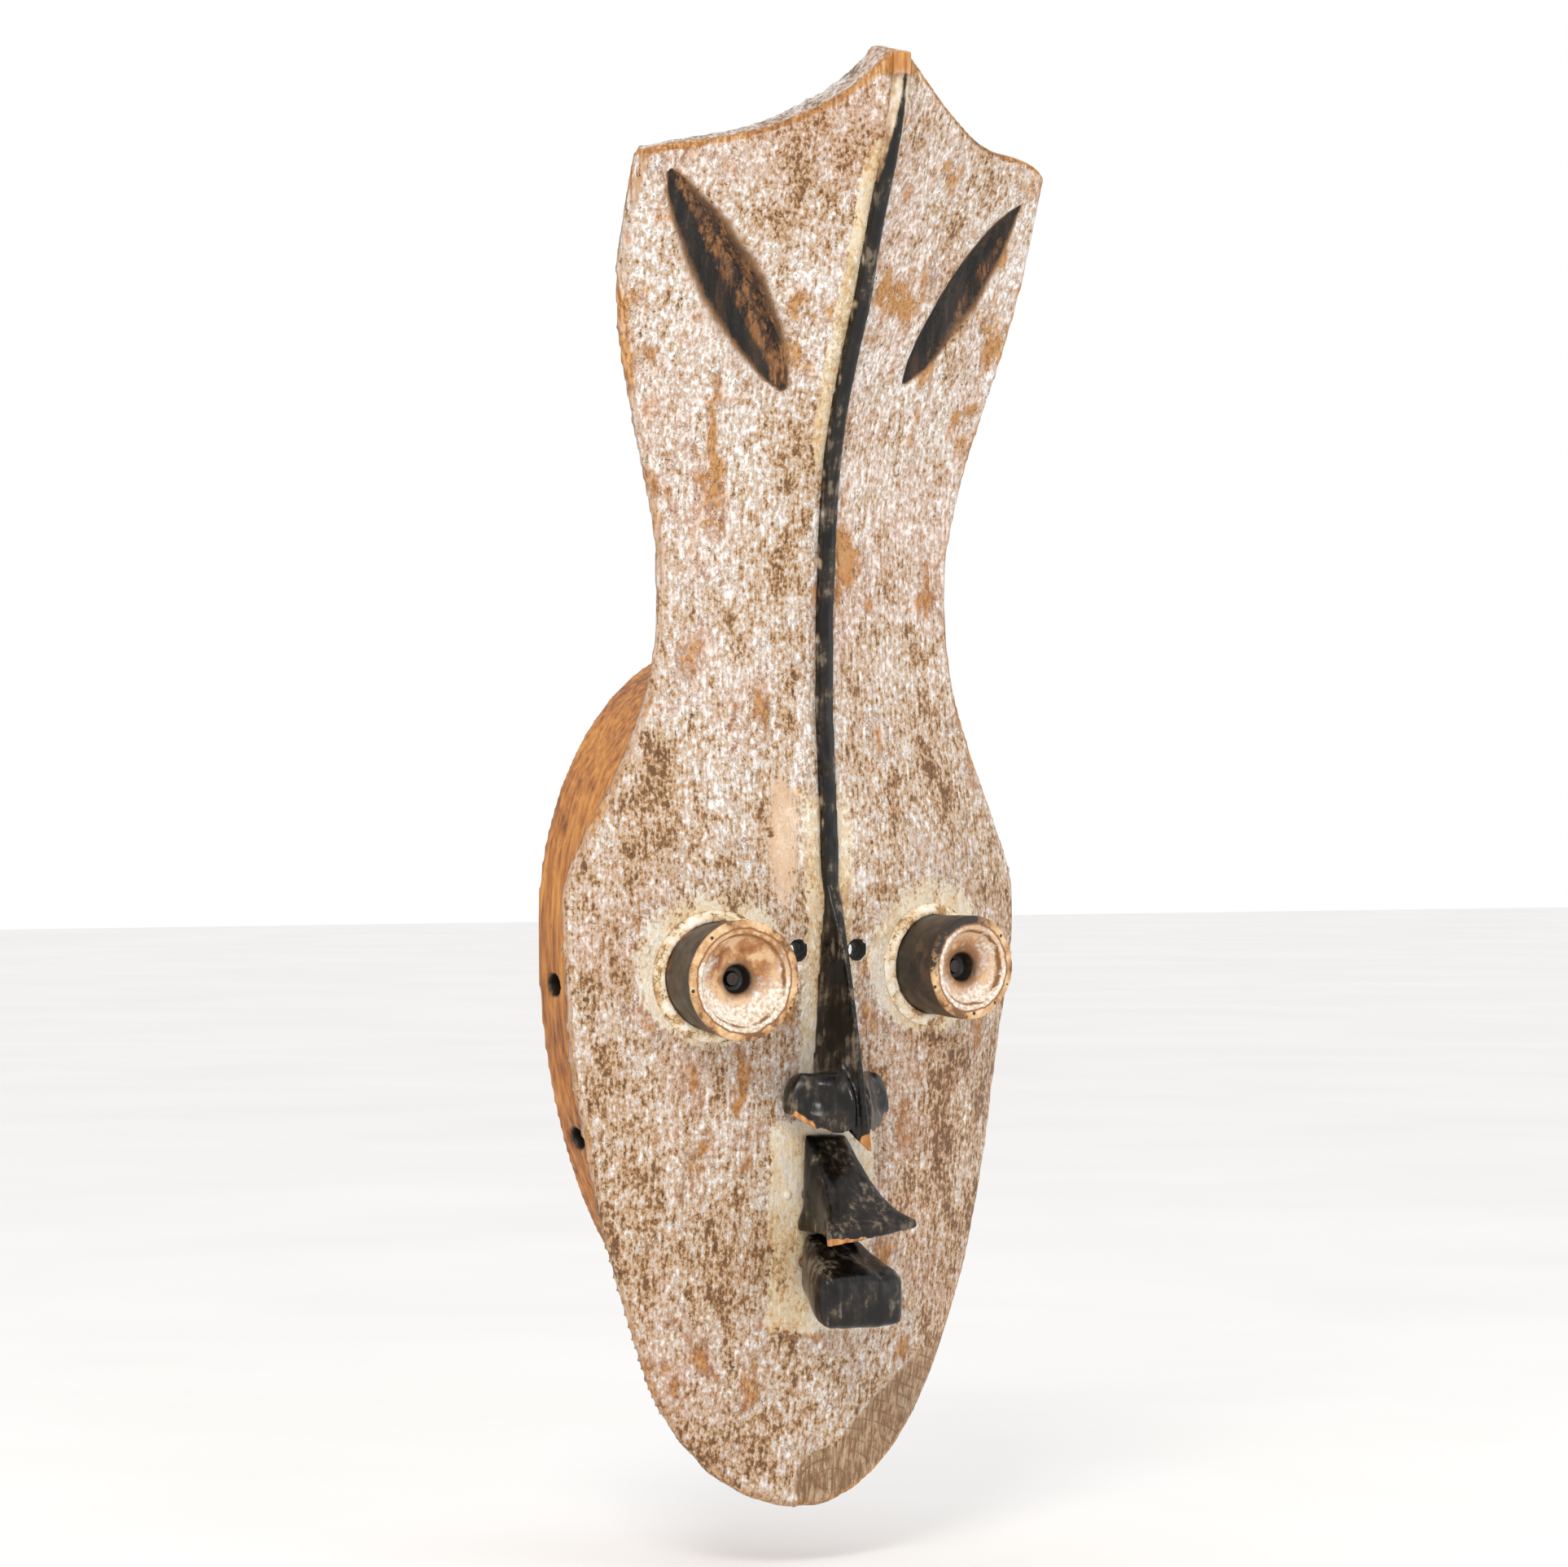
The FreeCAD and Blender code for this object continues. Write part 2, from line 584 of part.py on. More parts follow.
def lace_hole_cuts():
    cuts = []
    for side in (-1, 1):
        for z in LACE_HOLE_HEIGHTS:
            start, outward = lace_hole_axis(side, z)
            reach = 2 * COLLAR_WALL
            cuts.append(Part.makeCylinder(LACE_HOLE_RADIUS, 2 * reach,
                                          start - outward * reach, outward))
    return cuts


def lace_hole_axis(side, z):
    """Middle of the collar's wall at a height, and the wall's outward direction there."""
    half = COLLAR_HALF_WIDTH - COLLAR_WALL / 2
    drop = COLLAR_DROP - COLLAR_WALL / 2
    down = (COLLAR_CENTRE_HEIGHT - z) / drop
    x = half * math.sqrt(1.0 - down * down)
    outward = Vector(side * x / half ** 2, 0, -down / drop).normalize()
    return Vector(side * x, -LACE_HOLE_INSET, z), outward


def collar_pieces(before_back):
    """The hoop's two sides and its top and bottom arches, butted with a glue line."""
    longest = 1.5 * FACE_DEPTH
    outer = oval_prism(COLLAR_HALF_WIDTH, COLLAR_RISE, COLLAR_DROP, longest)
    inner = oval_prism(COLLAR_HALF_WIDTH - COLLAR_WALL, COLLAR_RISE - COLLAR_TOP_WALL,
                       COLLAR_DROP - COLLAR_WALL, longest)
    cuts = [inner, before_back, hanger_mortise()] + lace_hole_cuts() + screw_holes()
    cuts += peg_holes(COLLAR_PEG, collar_peg_points())
    hoop = outer.cut(cuts)
    low, high = COLLAR_JOINTS
    half = 1.5 * COLLAR_HALF_WIDTH
    depths = (0, longest)
    foot = COLLAR_CENTRE_HEIGHT - 1.5 * COLLAR_DROP
    return {
        "collar_top_arch": hoop.common(box((-half, half), depths,
                                           (high + GLUE_LINE, 1.5 * COLLAR_TOP_HEIGHT))),
        "collar_left_side": hoop.common(box((-half, 0), depths, (low + GLUE_LINE, high))),
        "collar_right_side": hoop.common(box((0, half), depths, (low + GLUE_LINE, high))),
        "collar_bottom_arch": hoop.common(box((-half, half), depths, (foot, low))),
    }


# ---- Hanger ----
def hanger_mortise():
    low = ORIGIN_HEIGHT - STRAP_LENGTH - STRAP_END_GAP
    return box((-MORTISE_HALF_WIDTH, MORTISE_HALF_WIDTH), (-1.0, MORTISE_DEPTH),
               (low, COLLAR_TOP_HEIGHT + 10.0))


def ring_axis():
    return Vector(0, -(MORTISE_DEPTH - RING_LIFT), ORIGIN_HEIGHT)


def screw_solid(drop, clearance):
    """A countersunk screw: a cone for the head and a plain shank."""
    floor_y = -MORTISE_DEPTH
    z = ORIGIN_HEIGHT - drop
    face = Vector(0, floor_y + STRAP_THICKNESS, z)
    head = Part.makeCone(SCREW_HEAD_RADIUS + clearance, SCREW_RADIUS + clearance,
                         STRAP_THICKNESS, face, Vector(0, -1, 0))
    end = 0.0 if clearance == 0.0 else PEG_END_GAP
    shank = Part.makeCylinder(SCREW_RADIUS + clearance, SCREW_LENGTH - STRAP_THICKNESS + end,
                              Vector(0, floor_y, z), Vector(0, -1, 0))
    return head.fuse(shank).removeSplitter()


def screw_holes():
    return [screw_solid(drop, PEG_CLEARANCE) for drop in SCREW_DROPS]


def hanger_strap():
    axis = ring_axis()
    plate = box((-STRAP_HALF_WIDTH, STRAP_HALF_WIDTH),
                (MORTISE_DEPTH - STRAP_THICKNESS, MORTISE_DEPTH),
                (ORIGIN_HEIGHT - STRAP_LENGTH, ORIGIN_HEIGHT))
    start = axis - Vector(STRAP_HALF_WIDTH, 0, 0)
    loop = Part.makeCylinder(LOOP_RADIUS, 2 * STRAP_HALF_WIDTH, start, Vector(1, 0, 0))
    bore = Part.makeCylinder(RING_WIRE_RADIUS + RING_PIVOT_CLEARANCE, 2 * STRAP_HALF_WIDTH,
                             start, Vector(1, 0, 0))
    return plate.fuse(loop).cut([bore] + screw_holes()).removeSplitter()


def hanger_ring():
    """A bail of round wire: a bar, two legs and a half circle, hanging from the bar."""
    axis = ring_axis()
    wire = RING_WIRE_RADIUS
    half = RING_HALF_WIDTH
    bar = Part.makeCylinder(wire, 2 * half, axis - Vector(half, 0, 0), Vector(1, 0, 0))
    pieces = []
    for side in (-1, 1):
        corner = axis + Vector(side * half, 0, 0)
        pieces.append(Part.makeSphere(wire, corner))
        pieces.append(Part.makeCylinder(wire, RING_LEG, corner, Vector(0, 0, -1)))
    bow = Part.makeTorus(half, wire, Vector(0, 0, 0), Vector(0, 0, 1), -180, 180, 180)
    turn = FreeCAD.Rotation(Vector(1, 0, 0), -90)
    bow.Placement = FreeCAD.Placement(axis - Vector(0, 0, RING_LEG), turn)
    return bar.fuse(pieces + [bow]).removeSplitter()


# ---- Everything together ----
def face_board(above_crest):
    board = slab().common(outline_prism()).cut(above_crest)
    cuts = [slash_cut(-1, LEFT_SLASH_RUN, LEFT_SLASH_HALF_LENGTH, 0.0),
            slash_cut(1, RIGHT_SLASH_RUN, RIGHT_SLASH_HALF_LENGTH, RIGHT_SLASH_DROP)]
    cuts += sight_hole_cuts()
    cuts.append(ridge_groove())
    cuts += peg_holes(RIDGE_PEG, ridge_peg_points())
    cuts += peg_holes(NOSE_PEG, nose_peg_points())
    cuts += peg_holes(LIP_PEG, lip_peg_points())
    cuts += peg_holes(COLLAR_PEG, collar_peg_points())
    cuts += [eye_peg(-1, LEFT_EYE_HEIGHT, PEG_CLEARANCE, PEG_END_GAP),
             eye_peg(1, RIGHT_EYE_HEIGHT, PEG_CLEARANCE, PEG_END_GAP)]
    return board.cut(cuts)


def in_front_of_back():
    """Everything in front of the board's own back face, and a glue line behind it."""
    reach = FACE_DEPTH
    wires = []
    for share, half, edge, middle, roundness, edge_thick, middle_thick in STATIONS:
        thick = (edge_thick + reach + GLUE_LINE, middle_thick + reach + GLUE_LINE)
        wires.append(section((share, half, edge + reach, middle + reach, roundness) + thick,
                             0.0, None))
    return Part.makeLoft(wires, True)


def build():
    above_crest = crest_cut()
    behind_face = slab(GLUE_LINE, FACE_DEPTH * 0.8)
    before_back = in_front_of_back()
    left_eye = (LEFT_EYE_HEIGHT, LEFT_EYE_FRONT_RADIUS, LEFT_EYE_BASE_RADIUS)
    right_eye = (RIGHT_EYE_HEIGHT, RIGHT_EYE_FRONT_RADIUS, RIGHT_EYE_BASE_RADIUS)
    paste_layer = slab(PASTE_HEIGHT, PASTE_HEIGHT - GLUE_LINE)
    lip_holes = peg_holes(LIP_PEG, lip_peg_points())
    return {
        "face_board": face_board(above_crest),
        "crest_ridge": crest_ridge(above_crest).cut(peg_holes(RIDGE_PEG, ridge_peg_points())),
        "nose": nose(behind_face).cut(peg_holes(NOSE_PEG, nose_peg_points())),
        "upper_lip": upper_lip(behind_face).cut(lip_holes),
        "lower_lip": lower_lip(behind_face).cut(lip_holes),
        "left_eye_tube": eye_tube(-1, *left_eye, behind_face),
        "right_eye_tube": eye_tube(1, *right_eye, behind_face),
        "left_eye_paste": eye_paste(-1, *left_eye, paste_layer),
        "right_eye_paste": eye_paste(1, *right_eye, paste_layer),
        "eye_pegs": Part.makeCompound([eye_peg(-1, LEFT_EYE_HEIGHT, 0.0, 0.0),
                                       eye_peg(1, RIGHT_EYE_HEIGHT, 0.0, 0.0)]),
        "ridge_pegs": Part.makeCompound(pegs(RIDGE_PEG, ridge_peg_points())),
        "nose_pegs": Part.makeCompound(pegs(NOSE_PEG, nose_peg_points())),
        "lip_pegs": Part.makeCompound(pegs(LIP_PEG, lip_peg_points())),
        **collar_pieces(before_back),
        "collar_pegs": Part.makeCompound(pegs(COLLAR_PEG, collar_peg_points())),
        "hanger_strap": hanger_strap(),
        "hanger_ring": hanger_ring(),
        "hanger_screws": Part.makeCompound([screw_solid(drop, 0.0) for drop in SCREW_DROPS]),
    }


for name, shape in build().items():
    shape.translate(Vector(0, 0, -ORIGIN_HEIGHT))
    shape.exportStep("parts/" + name + ".step")
    print(name, len(shape.Solids), "solid(s)", round(shape.Volume / 1000.0, 2), "cm3",
          "valid" if shape.isValid() else "NOT VALID")
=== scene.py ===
# %% [markdown]
# A carved board mask: looks around a fixed frame
#
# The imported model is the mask's joinery: a carved board, a ridge strip, nose, lips, eyes,
# a collar and a small wall hanger, each a closed solid in its true place. This lesson keeps
# every place and size, and carves, paints and wears the surfaces.

# %% Load the frame
import json
import math

import bpy
import bmesh
import numpy as np
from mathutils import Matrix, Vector


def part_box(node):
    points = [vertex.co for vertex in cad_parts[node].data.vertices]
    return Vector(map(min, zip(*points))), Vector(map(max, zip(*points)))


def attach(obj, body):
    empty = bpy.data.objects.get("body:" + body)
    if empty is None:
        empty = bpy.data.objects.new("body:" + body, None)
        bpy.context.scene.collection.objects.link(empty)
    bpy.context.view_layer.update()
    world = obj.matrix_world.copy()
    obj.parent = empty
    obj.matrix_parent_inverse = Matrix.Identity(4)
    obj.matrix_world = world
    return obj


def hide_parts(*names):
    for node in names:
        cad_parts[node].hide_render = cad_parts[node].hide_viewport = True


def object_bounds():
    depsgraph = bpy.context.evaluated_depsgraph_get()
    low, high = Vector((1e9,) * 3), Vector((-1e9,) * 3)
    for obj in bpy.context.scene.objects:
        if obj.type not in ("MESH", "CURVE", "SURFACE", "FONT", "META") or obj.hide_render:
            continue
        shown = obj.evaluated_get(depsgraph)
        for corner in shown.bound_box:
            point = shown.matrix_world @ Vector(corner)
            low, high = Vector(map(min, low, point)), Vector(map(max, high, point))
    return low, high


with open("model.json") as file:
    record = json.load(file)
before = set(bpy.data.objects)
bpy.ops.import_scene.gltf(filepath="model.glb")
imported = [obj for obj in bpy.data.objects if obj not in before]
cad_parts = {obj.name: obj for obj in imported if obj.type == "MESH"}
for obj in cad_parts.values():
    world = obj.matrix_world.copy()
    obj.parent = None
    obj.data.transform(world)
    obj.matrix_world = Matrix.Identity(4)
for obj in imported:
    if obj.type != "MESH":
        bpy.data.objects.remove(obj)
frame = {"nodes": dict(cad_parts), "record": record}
cad_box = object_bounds()
MM = 0.001
BOARD_LOW, BOARD_HIGH = (np.array(corner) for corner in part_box("face_board"))
print("board from", BOARD_LOW.round(3), "to", BOARD_HIGH.round(3))

# %% [markdown]
# The stage
#
# A studio shot of a wall piece is mostly soft light: a big key from the upper left, a weak
# fill from the right and a bright sky for the shadows. The floor is plain and pale. The
# camera stands three metres off, a little to the left of the mask, with a long lens, which
# keeps the board's sides nearly parallel as the eye sees them from across a room.


# %% One helper for shader and geometry nodes
def linear(code):
    """An sRGB hex colour as linear red, green, blue and alpha."""
    channels = [int(code[i:i + 2], 16) / 255 for i in (1, 3, 5)]
    return [c / 12.92 if c <= 0.04045 else ((c + 0.055) / 1.055) ** 2.4 for c in channels] + [1]


def add(tree, kind, inputs=None, stops=None, **settings):
    """Adds a node: settings are its properties, inputs are values or other nodes' sockets."""
    node = tree.nodes.new(kind)
    for key, value in settings.items():
        setattr(node, key, value)
    for key, value in (inputs or {}).items():
        if isinstance(value, bpy.types.NodeSocket):
            tree.links.new(value, node.inputs[key])
        else:
            coloured = isinstance(value, str) and value.startswith("#")
            node.inputs[key].default_value = linear(value) if coloured else value
    for i, (place, code) in enumerate(stops or ()):
        elements = node.color_ramp.elements
        element = elements[i] if i < 2 else elements.new(place)
        element.position = place
        element.color = linear(code)
    return node


print("mid grey is", round(linear("#808080")[0], 3), "in linear light")

# %% [markdown]
# A finish from a table of steps
#
# Paint and wear are layers, so a material here is a list of steps. It begins with noises, each
# with the size of its grain in millimetres and how far it is drawn out along the wood, and
# with numbers stored on the points. A step then mixes earlier results into a sum, a mask or a
# ramp of colours, or lays one colour over another through a mask. The table reads like a
# painter's notes, and the same loop serves every finish.


# %% Building a finish
def finish(name, grains=(), marks=()):
    """A new material, its tree and shader, and its noises and stored numbers by name.

    A grain is: name, size in mm, stretch along Z, detail, roughness, distortion.
    """
    material = bpy.data.materials.new(name)
    material.use_nodes = True
    tree = material.node_tree
    read = {"place": add(tree, "ShaderNodeTexCoord").outputs["Object"]}
    for grain, size, stretch, detail, rough, distort in grains:
        along = add(tree, "ShaderNodeMapping", {"Vector": read["place"],
                                                "Scale": (1, 1, 1 / stretch)})
        noise_node = add(tree, "ShaderNodeTexNoise",
                         {"Vector": along.outputs["Vector"], "Scale": 1 / (size * MM),
                          "Detail": detail, "Roughness": rough, "Distortion": distort})
        read[grain] = noise_node.outputs["Fac"]
    for mark in marks:
        read[mark] = add(tree, "ShaderNodeAttribute", attribute_name=mark).outputs["Fac"]
    return material, tree, tree.nodes["Principled BSDF"], read


def build(tree, read, steps):
    """Works through a finish's steps and keeps each result in read under its name.

    A step with weights is a sum of earlier results: two levels after it cut it to a mask,
    and stops turn it to colours. Any other step is a coat: under, over, mask and blend.
    """
    for name, first, *rest in steps:
        if isinstance(first, dict):
            made = 0.0
            for part, weight in first.items():
                made = add(tree, "ShaderNodeMath", {0: read[part], 1: weight, 2: made},
                           operation="MULTIPLY_ADD").outputs["Value"]
            if rest and isinstance(rest[0], tuple):
                made = add(tree, "ShaderNodeValToRGB", {"Fac": made}, rest).outputs["Color"]
            elif rest:
                made = add(tree, "ShaderNodeMapRange",
                           {"Value": made, "From Min": rest[0],
                            "From Max": rest[1]}).outputs["Result"]
        else:
            over, mask, *blend = rest
            made = add(tree, "ShaderNodeMix",
                       {0: read[mask], 6: read[first], 7: read.get(over, over)},
                       data_type="RGBA", blend_type=blend[0] if blend else "MIX").outputs[2]
        read[name] = made


def wear_the_finish(tree, shader, read, strength, depth, gloss):
    """Links colour, height (depth in mm) and gloss (the two ends of its roughness)."""
    bump = add(tree, "ShaderNodeBump", {"Height": read["height"], "Strength": strength,
                                        "Distance": depth * MM})
    rough = add(tree, "ShaderNodeMapRange", {"Value": read["gloss"], "From Min": gloss[0],
                                             "From Max": gloss[1], "To Min": gloss[2],
                                             "To Max": gloss[3]})
    tree.links.new(read["colour"], shader.inputs["Base Color"])
    tree.links.new(bump.outputs["Normal"], shader.inputs["Normal"])
    tree.links.new(rough.outputs["Result"], shader.inputs["Roughness"])


print("finishes are built from noises, stored marks and steps")

# %% Floor, light and camera
CAMERA_DISTANCE = 3.0
CAMERA_TURN = math.radians(-33.0)
CAMERA_LENS = 140.2
CAMERA_SHIFT = -0.0026
FLOOR_GAP = 0.03
FLOOR_SPAN = 12.0
TARGET = Vector((0.0, -0.063, -0.066))


def lamp(name, place, size, power, colour):
    """A square soft lamp at a place measured from the target, turned to it."""
    light = bpy.data.lights.new(name, "AREA")
    light.size = size
    light.energy = power
    light.color = linear(colour)[:3]
    holder = bpy.data.objects.new(name, light)
    bpy.context.collection.objects.link(holder)
    holder.location = TARGET + Vector(place)
    holder.rotation_euler = (-Vector(place)).to_track_quat("-Z", "Y").to_euler()


def stage():
    """The floor, a little below the chin."""
    mesh = bpy.data.meshes.new("floor")
    span = FLOOR_SPAN
    z = cad_box[0][2] - FLOOR_GAP
    corners = [(-span, -span, z), (span, -span, z), (span, span, z), (-span, span, z)]
    mesh.from_pydata(corners, [], [(0, 1, 2, 3)])
    floor = bpy.data.objects.new("floor", mesh)
    bpy.context.collection.objects.link(floor)
    # Backdrop paper: matt white, with the faint broad unevenness of a hand's width or two.
    material, tree, shader, read = finish("matt white backdrop paper",
                                          [("mottle", 333.3, 1.0, 3.0, 0.5, 0.0)])
    build(tree, read, [("colour", {"mottle": 1.0}, (0.3, "#F8F7F5"), (0.7, "#FDFCFB"))])
    tree.links.new(read["colour"], shader.inputs["Base Color"])
    shader.inputs["Roughness"].default_value = 0.9
    floor.data.materials.append(material)


def daylight():
    """A white sky that lights the scene a little less than it shows."""
    world = bpy.data.worlds.new("studio")
    bpy.context.scene.world = world
    world.use_nodes = True
    tree = world.node_tree
    sky = tree.nodes["Background"]
    sky.inputs["Color"].default_value = linear("#FFFFFF")
    seen = add(tree, "ShaderNodeLightPath").outputs["Is Camera Ray"]
    level = add(tree, "ShaderNodeMapRange", {"Value": seen, "To Min": 0.92, "To Max": 1.0})
    tree.links.new(level.outputs["Result"], sky.inputs["Strength"])


def camera():
    """A long lens, level, turned to the mask's left side."""
    lens = bpy.data.cameras.new("camera")
    lens.lens = CAMERA_LENS
    lens.shift_x = CAMERA_SHIFT
    lens.clip_end = 50.0
    holder = bpy.data.objects.new("camera", lens)
    bpy.context.collection.objects.link(holder)
    back = Vector((math.sin(CAMERA_TURN), -math.cos(CAMERA_TURN), 0.0))
    holder.location = TARGET + back * CAMERA_DISTANCE
    holder.rotation_euler = (math.pi / 2, 0.0, CAMERA_TURN)
    bpy.context.scene.camera = holder


stage()
daylight()
camera()
lamp("key", (-1.7, -1.9, 1.7), 0.8, 34.0, "#FFFBF5")
lamp("fill", (2.0, -1.8, 0.4), 1.2, 5.0, "#F6F9FF")
bpy.context.scene.view_settings.view_transform = "Standard"
print("stage set")

# %% [markdown]
# Carving from the joinery
#
# A carver starts from a squared block and rounds, hollows and cuts it. The pieces can be
# made the same way: a copy of the solid is welded and turned into an even skin of small
# squares, the voxel remesh. Then each point is moved by a rule: eased edges, adze facets
# and the lift of the grain. The rules are short sums of smooth noise over the points, in
# millimetres, so the same mask comes out each time.


# %% Even skins and smooth noise
def lattice(cells, seed):
    """A fixed random number from 0 to 1 for each whole-number cell."""
    x, y, z = (cells[:, i].astype(np.int64) for i in range(3))
    mixed = (x * 73856093) ^ (y * 19349663) ^ (z * 83492791) ^ (seed * 2654435761)
    mixed = (mixed ^ (mixed >> 13)) * 1274126177
    return ((mixed ^ (mixed >> 16)) & 0xFFFFF) / float(0xFFFFF)


def noise(points, cell, seed=0, octaves=1):
    """Smooth noise from -1 to 1; cell is its grain in mm, one number or one per axis."""
    total = np.zeros(len(points))
    weight = 1.0
    for octave in range(octaves):
        q = points / (np.array(cell, dtype=float) * np.ones(3)) * 2 ** octave
        low = np.floor(q)
        f = q - low
        f = f * f * (3 - 2 * f)
        value = 0
        for corner in np.ndindex(2, 2, 2):
            c = np.array(corner)
            share = np.prod(np.where(c == 1, f, 1 - f), axis=1)
            value = value + share * lattice(low + c, seed + octave)
        total += weight * (2 * value - 1)
        weight *= 0.5
    return total


def step(low, high, value):
    """0 at low, 1 at high and smooth between; low may be the larger."""
    t = np.clip((value - low) / (high - low), 0.0, 1.0)
    return t * t * (3 - 2 * t)


def points_of(mesh):
    """The mesh's points in millimetres."""
    flat = np.empty(len(mesh.vertices) * 3)
    mesh.vertices.foreach_get("co", flat)
    return flat.reshape(-1, 3) / MM


def move_to(mesh, points):
    """Sets the mesh's points, kept inside the box of the joinery."""
    points = np.clip(points, np.array(cad_box[0]) / MM, np.array(cad_box[1]) / MM)
    mesh.vertices.foreach_set("co", (points * MM).ravel())
    mesh.update()


def normals_of(mesh):
    flat = np.empty(len(mesh.vertices) * 3, dtype=np.float32)
    mesh.vertex_normals.foreach_get("vector", flat)
    return flat.reshape(-1, 3).astype(float)


def eased(mesh, points, rounds, share=0.5):
    """Moves each point towards the mean of its neighbours."""
    flat = np.empty(len(mesh.edges) * 2, dtype=np.int32)
    mesh.edges.foreach_get("vertices", flat)
    a, b = flat.reshape(-1, 2).T
    count = np.bincount(np.concatenate([a, b]), minlength=len(points)).astype(float)
    for _ in range(rounds):
        mean = np.empty_like(points)
        for axis in range(3):
            mean[:, axis] = (np.bincount(a, points[b, axis], len(points))
                             + np.bincount(b, points[a, axis], len(points))) / count
        points = points + share * (mean - points)
    return points


def crown(mesh, points, normals, spread):
    """How far each point stands proud of its surroundings, in mm: edges are positive."""
    return np.einsum("ij,ij->i", points - eased(mesh, points, spread), normals)


def plain(block):
    """The finished mesh of an object with modifiers; the object itself goes."""
    graph = bpy.context.evaluated_depsgraph_get()
    mesh = bpy.data.meshes.new_from_object(block.evaluated_get(graph))
    bpy.data.objects.remove(block)
    return mesh


def skinned(mesh, voxel):
    """The mesh again as an even skin of squares, with smooth faces."""
    block = bpy.data.objects.new("block", mesh)
    bpy.context.collection.objects.link(block)
    skin = block.modifiers.new("skin", "REMESH")
    skin.mode = "VOXEL"
    skin.voxel_size = voxel * MM
    skin.use_smooth_shade = True
    return plain(block)


def solid_copy(name, nodes, voxel, shape=None, grow=0.0):
    """One skinned copy of CAD nodes, grown to close their joints, then bent by a rule."""
    bm = bmesh.new()
    for node in nodes:
        bm.from_mesh(frame["nodes"][node].data)
    bmesh.ops.remove_doubles(bm, verts=bm.verts, dist=0.01 * MM)
    bm.normal_update()
    for vert in bm.verts:
        vert.co += vert.normal * grow * MM
    mesh = bpy.data.meshes.new(name)
    bm.to_mesh(mesh)
    bm.free()
    mesh = skinned(mesh, voxel)
    if shape:
        move_to(mesh, shape(points_of(mesh)))
        mesh = skinned(mesh, voxel)
    mesh.name = name
    piece = bpy.data.objects.new(name, mesh)
    bpy.context.collection.objects.link(piece)
    return piece


def store(mesh, **values):
    """Keeps numbers on the points, for a material to read by name."""
    for name, numbers in values.items():
        layer = mesh.attributes.new(name, "FLOAT", "POINT")
        layer.data.foreach_set("value", np.asarray(numbers, dtype=np.float32))


def settle(piece, material, slot, *nodes, body="mask"):
    """Gives a finished piece its material and body, and hides the CAD nodes it stands for; slot
    is not used.
    """
    piece.data.materials.clear()
    piece.data.materials.append(material)
    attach(piece, body)
    if nodes:
        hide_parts(*nodes)
    print(piece.name, len(piece.data.polygons), "faces")


# %% [markdown]
# The board's paint
#
# The board is a light West African hardwood, painted with kaolin, a white clay, and then
# handled and weathered for years. What the eye gets is four layers: a warm thin wash in
# the grain, thicker chalky remains that catch the light, brown wood where both are gone,
# and dark dirt in the pores. Each layer is a mask made of two or three noises: a broad one
# says where, and a fine one, drawn out along the grain, breaks its edge.


# %% Kaolin on wood
# Kaolin is a matt white clay: dielectric, rough, warm where it is thin. Its noises run from
# broad blotches a hand across to the wood's fibres, which are really a third of a
# millimetre wide and are drawn coarser here, so that they show.
KAOLIN_GRAINS = [
    ("cloud", 111.1, 1.2, 2.0, 0.6, 0.0),
    ("blotch", 66.67, 1.6, 5.0, 0.62, 0.4),
    ("drift", 26.32, 1.6, 5.0, 0.62, 0.3),
    ("patch", 12.82, 1.4, 6.0, 0.68, 0.3),
    ("broad_streak", 5.882, 8.0, 5.0, 0.62, 0.0),
    ("fleck", 2.0833, 1.5, 5.0, 0.72, 0.0),
    ("streak", 1.5625, 11.0, 4.0, 0.6, 0.0),
    ("speck", 1.1111, 1.2, 2.0, 0.6, 0.0),
]
KAOLIN_MARKS = ("thick", "cream", "peach", "bare", "ring", "arris", "crest_top", "back",
                "slash", "slash_lit", "pit")

# The wash: thickness gives the tone, then stains, a blush, torn edges and dirt go over it.
WASH = [
    ("thickness", {"blotch": 0.16, "drift": 0.17, "patch": 0.17, "streak": 0.14,
                   "fleck": 0.36, "thick": 0.020}),
    ("colour", {"thickness": 1.0}, (0.444, "#6A4524"), (0.466, "#9B7347"),
     (0.486, "#C09C76"), (0.504, "#D0B8A2"), (0.522, "#E1D2C5"), (0.542, "#F3ECE6"),
     (0.566, "#FFFEFD")),
    ("chalk", {"thickness": 1.0}, 0.500, 0.555),
    ("stain", {"drift": 0.4, "blotch": 0.3, "patch": 0.3}, 0.520, 0.580),
    ("colour", "colour", "#C8965C", "stain", "MULTIPLY"),
    ("blush", {"patch": 0.4, "cloud": 0.6}, 0.48, 0.60),
    ("colour", "colour", "#F7EAE4", "blush", "MULTIPLY"),
    ("colour", "colour", "#6B4A30", "torn"),
    ("dirt", {"speck": 0.5, "streak": 0.2, "patch": 0.3}, 0.400, 0.370),
    ("colour", "colour", "#3F2C1D", "dirt"),
]

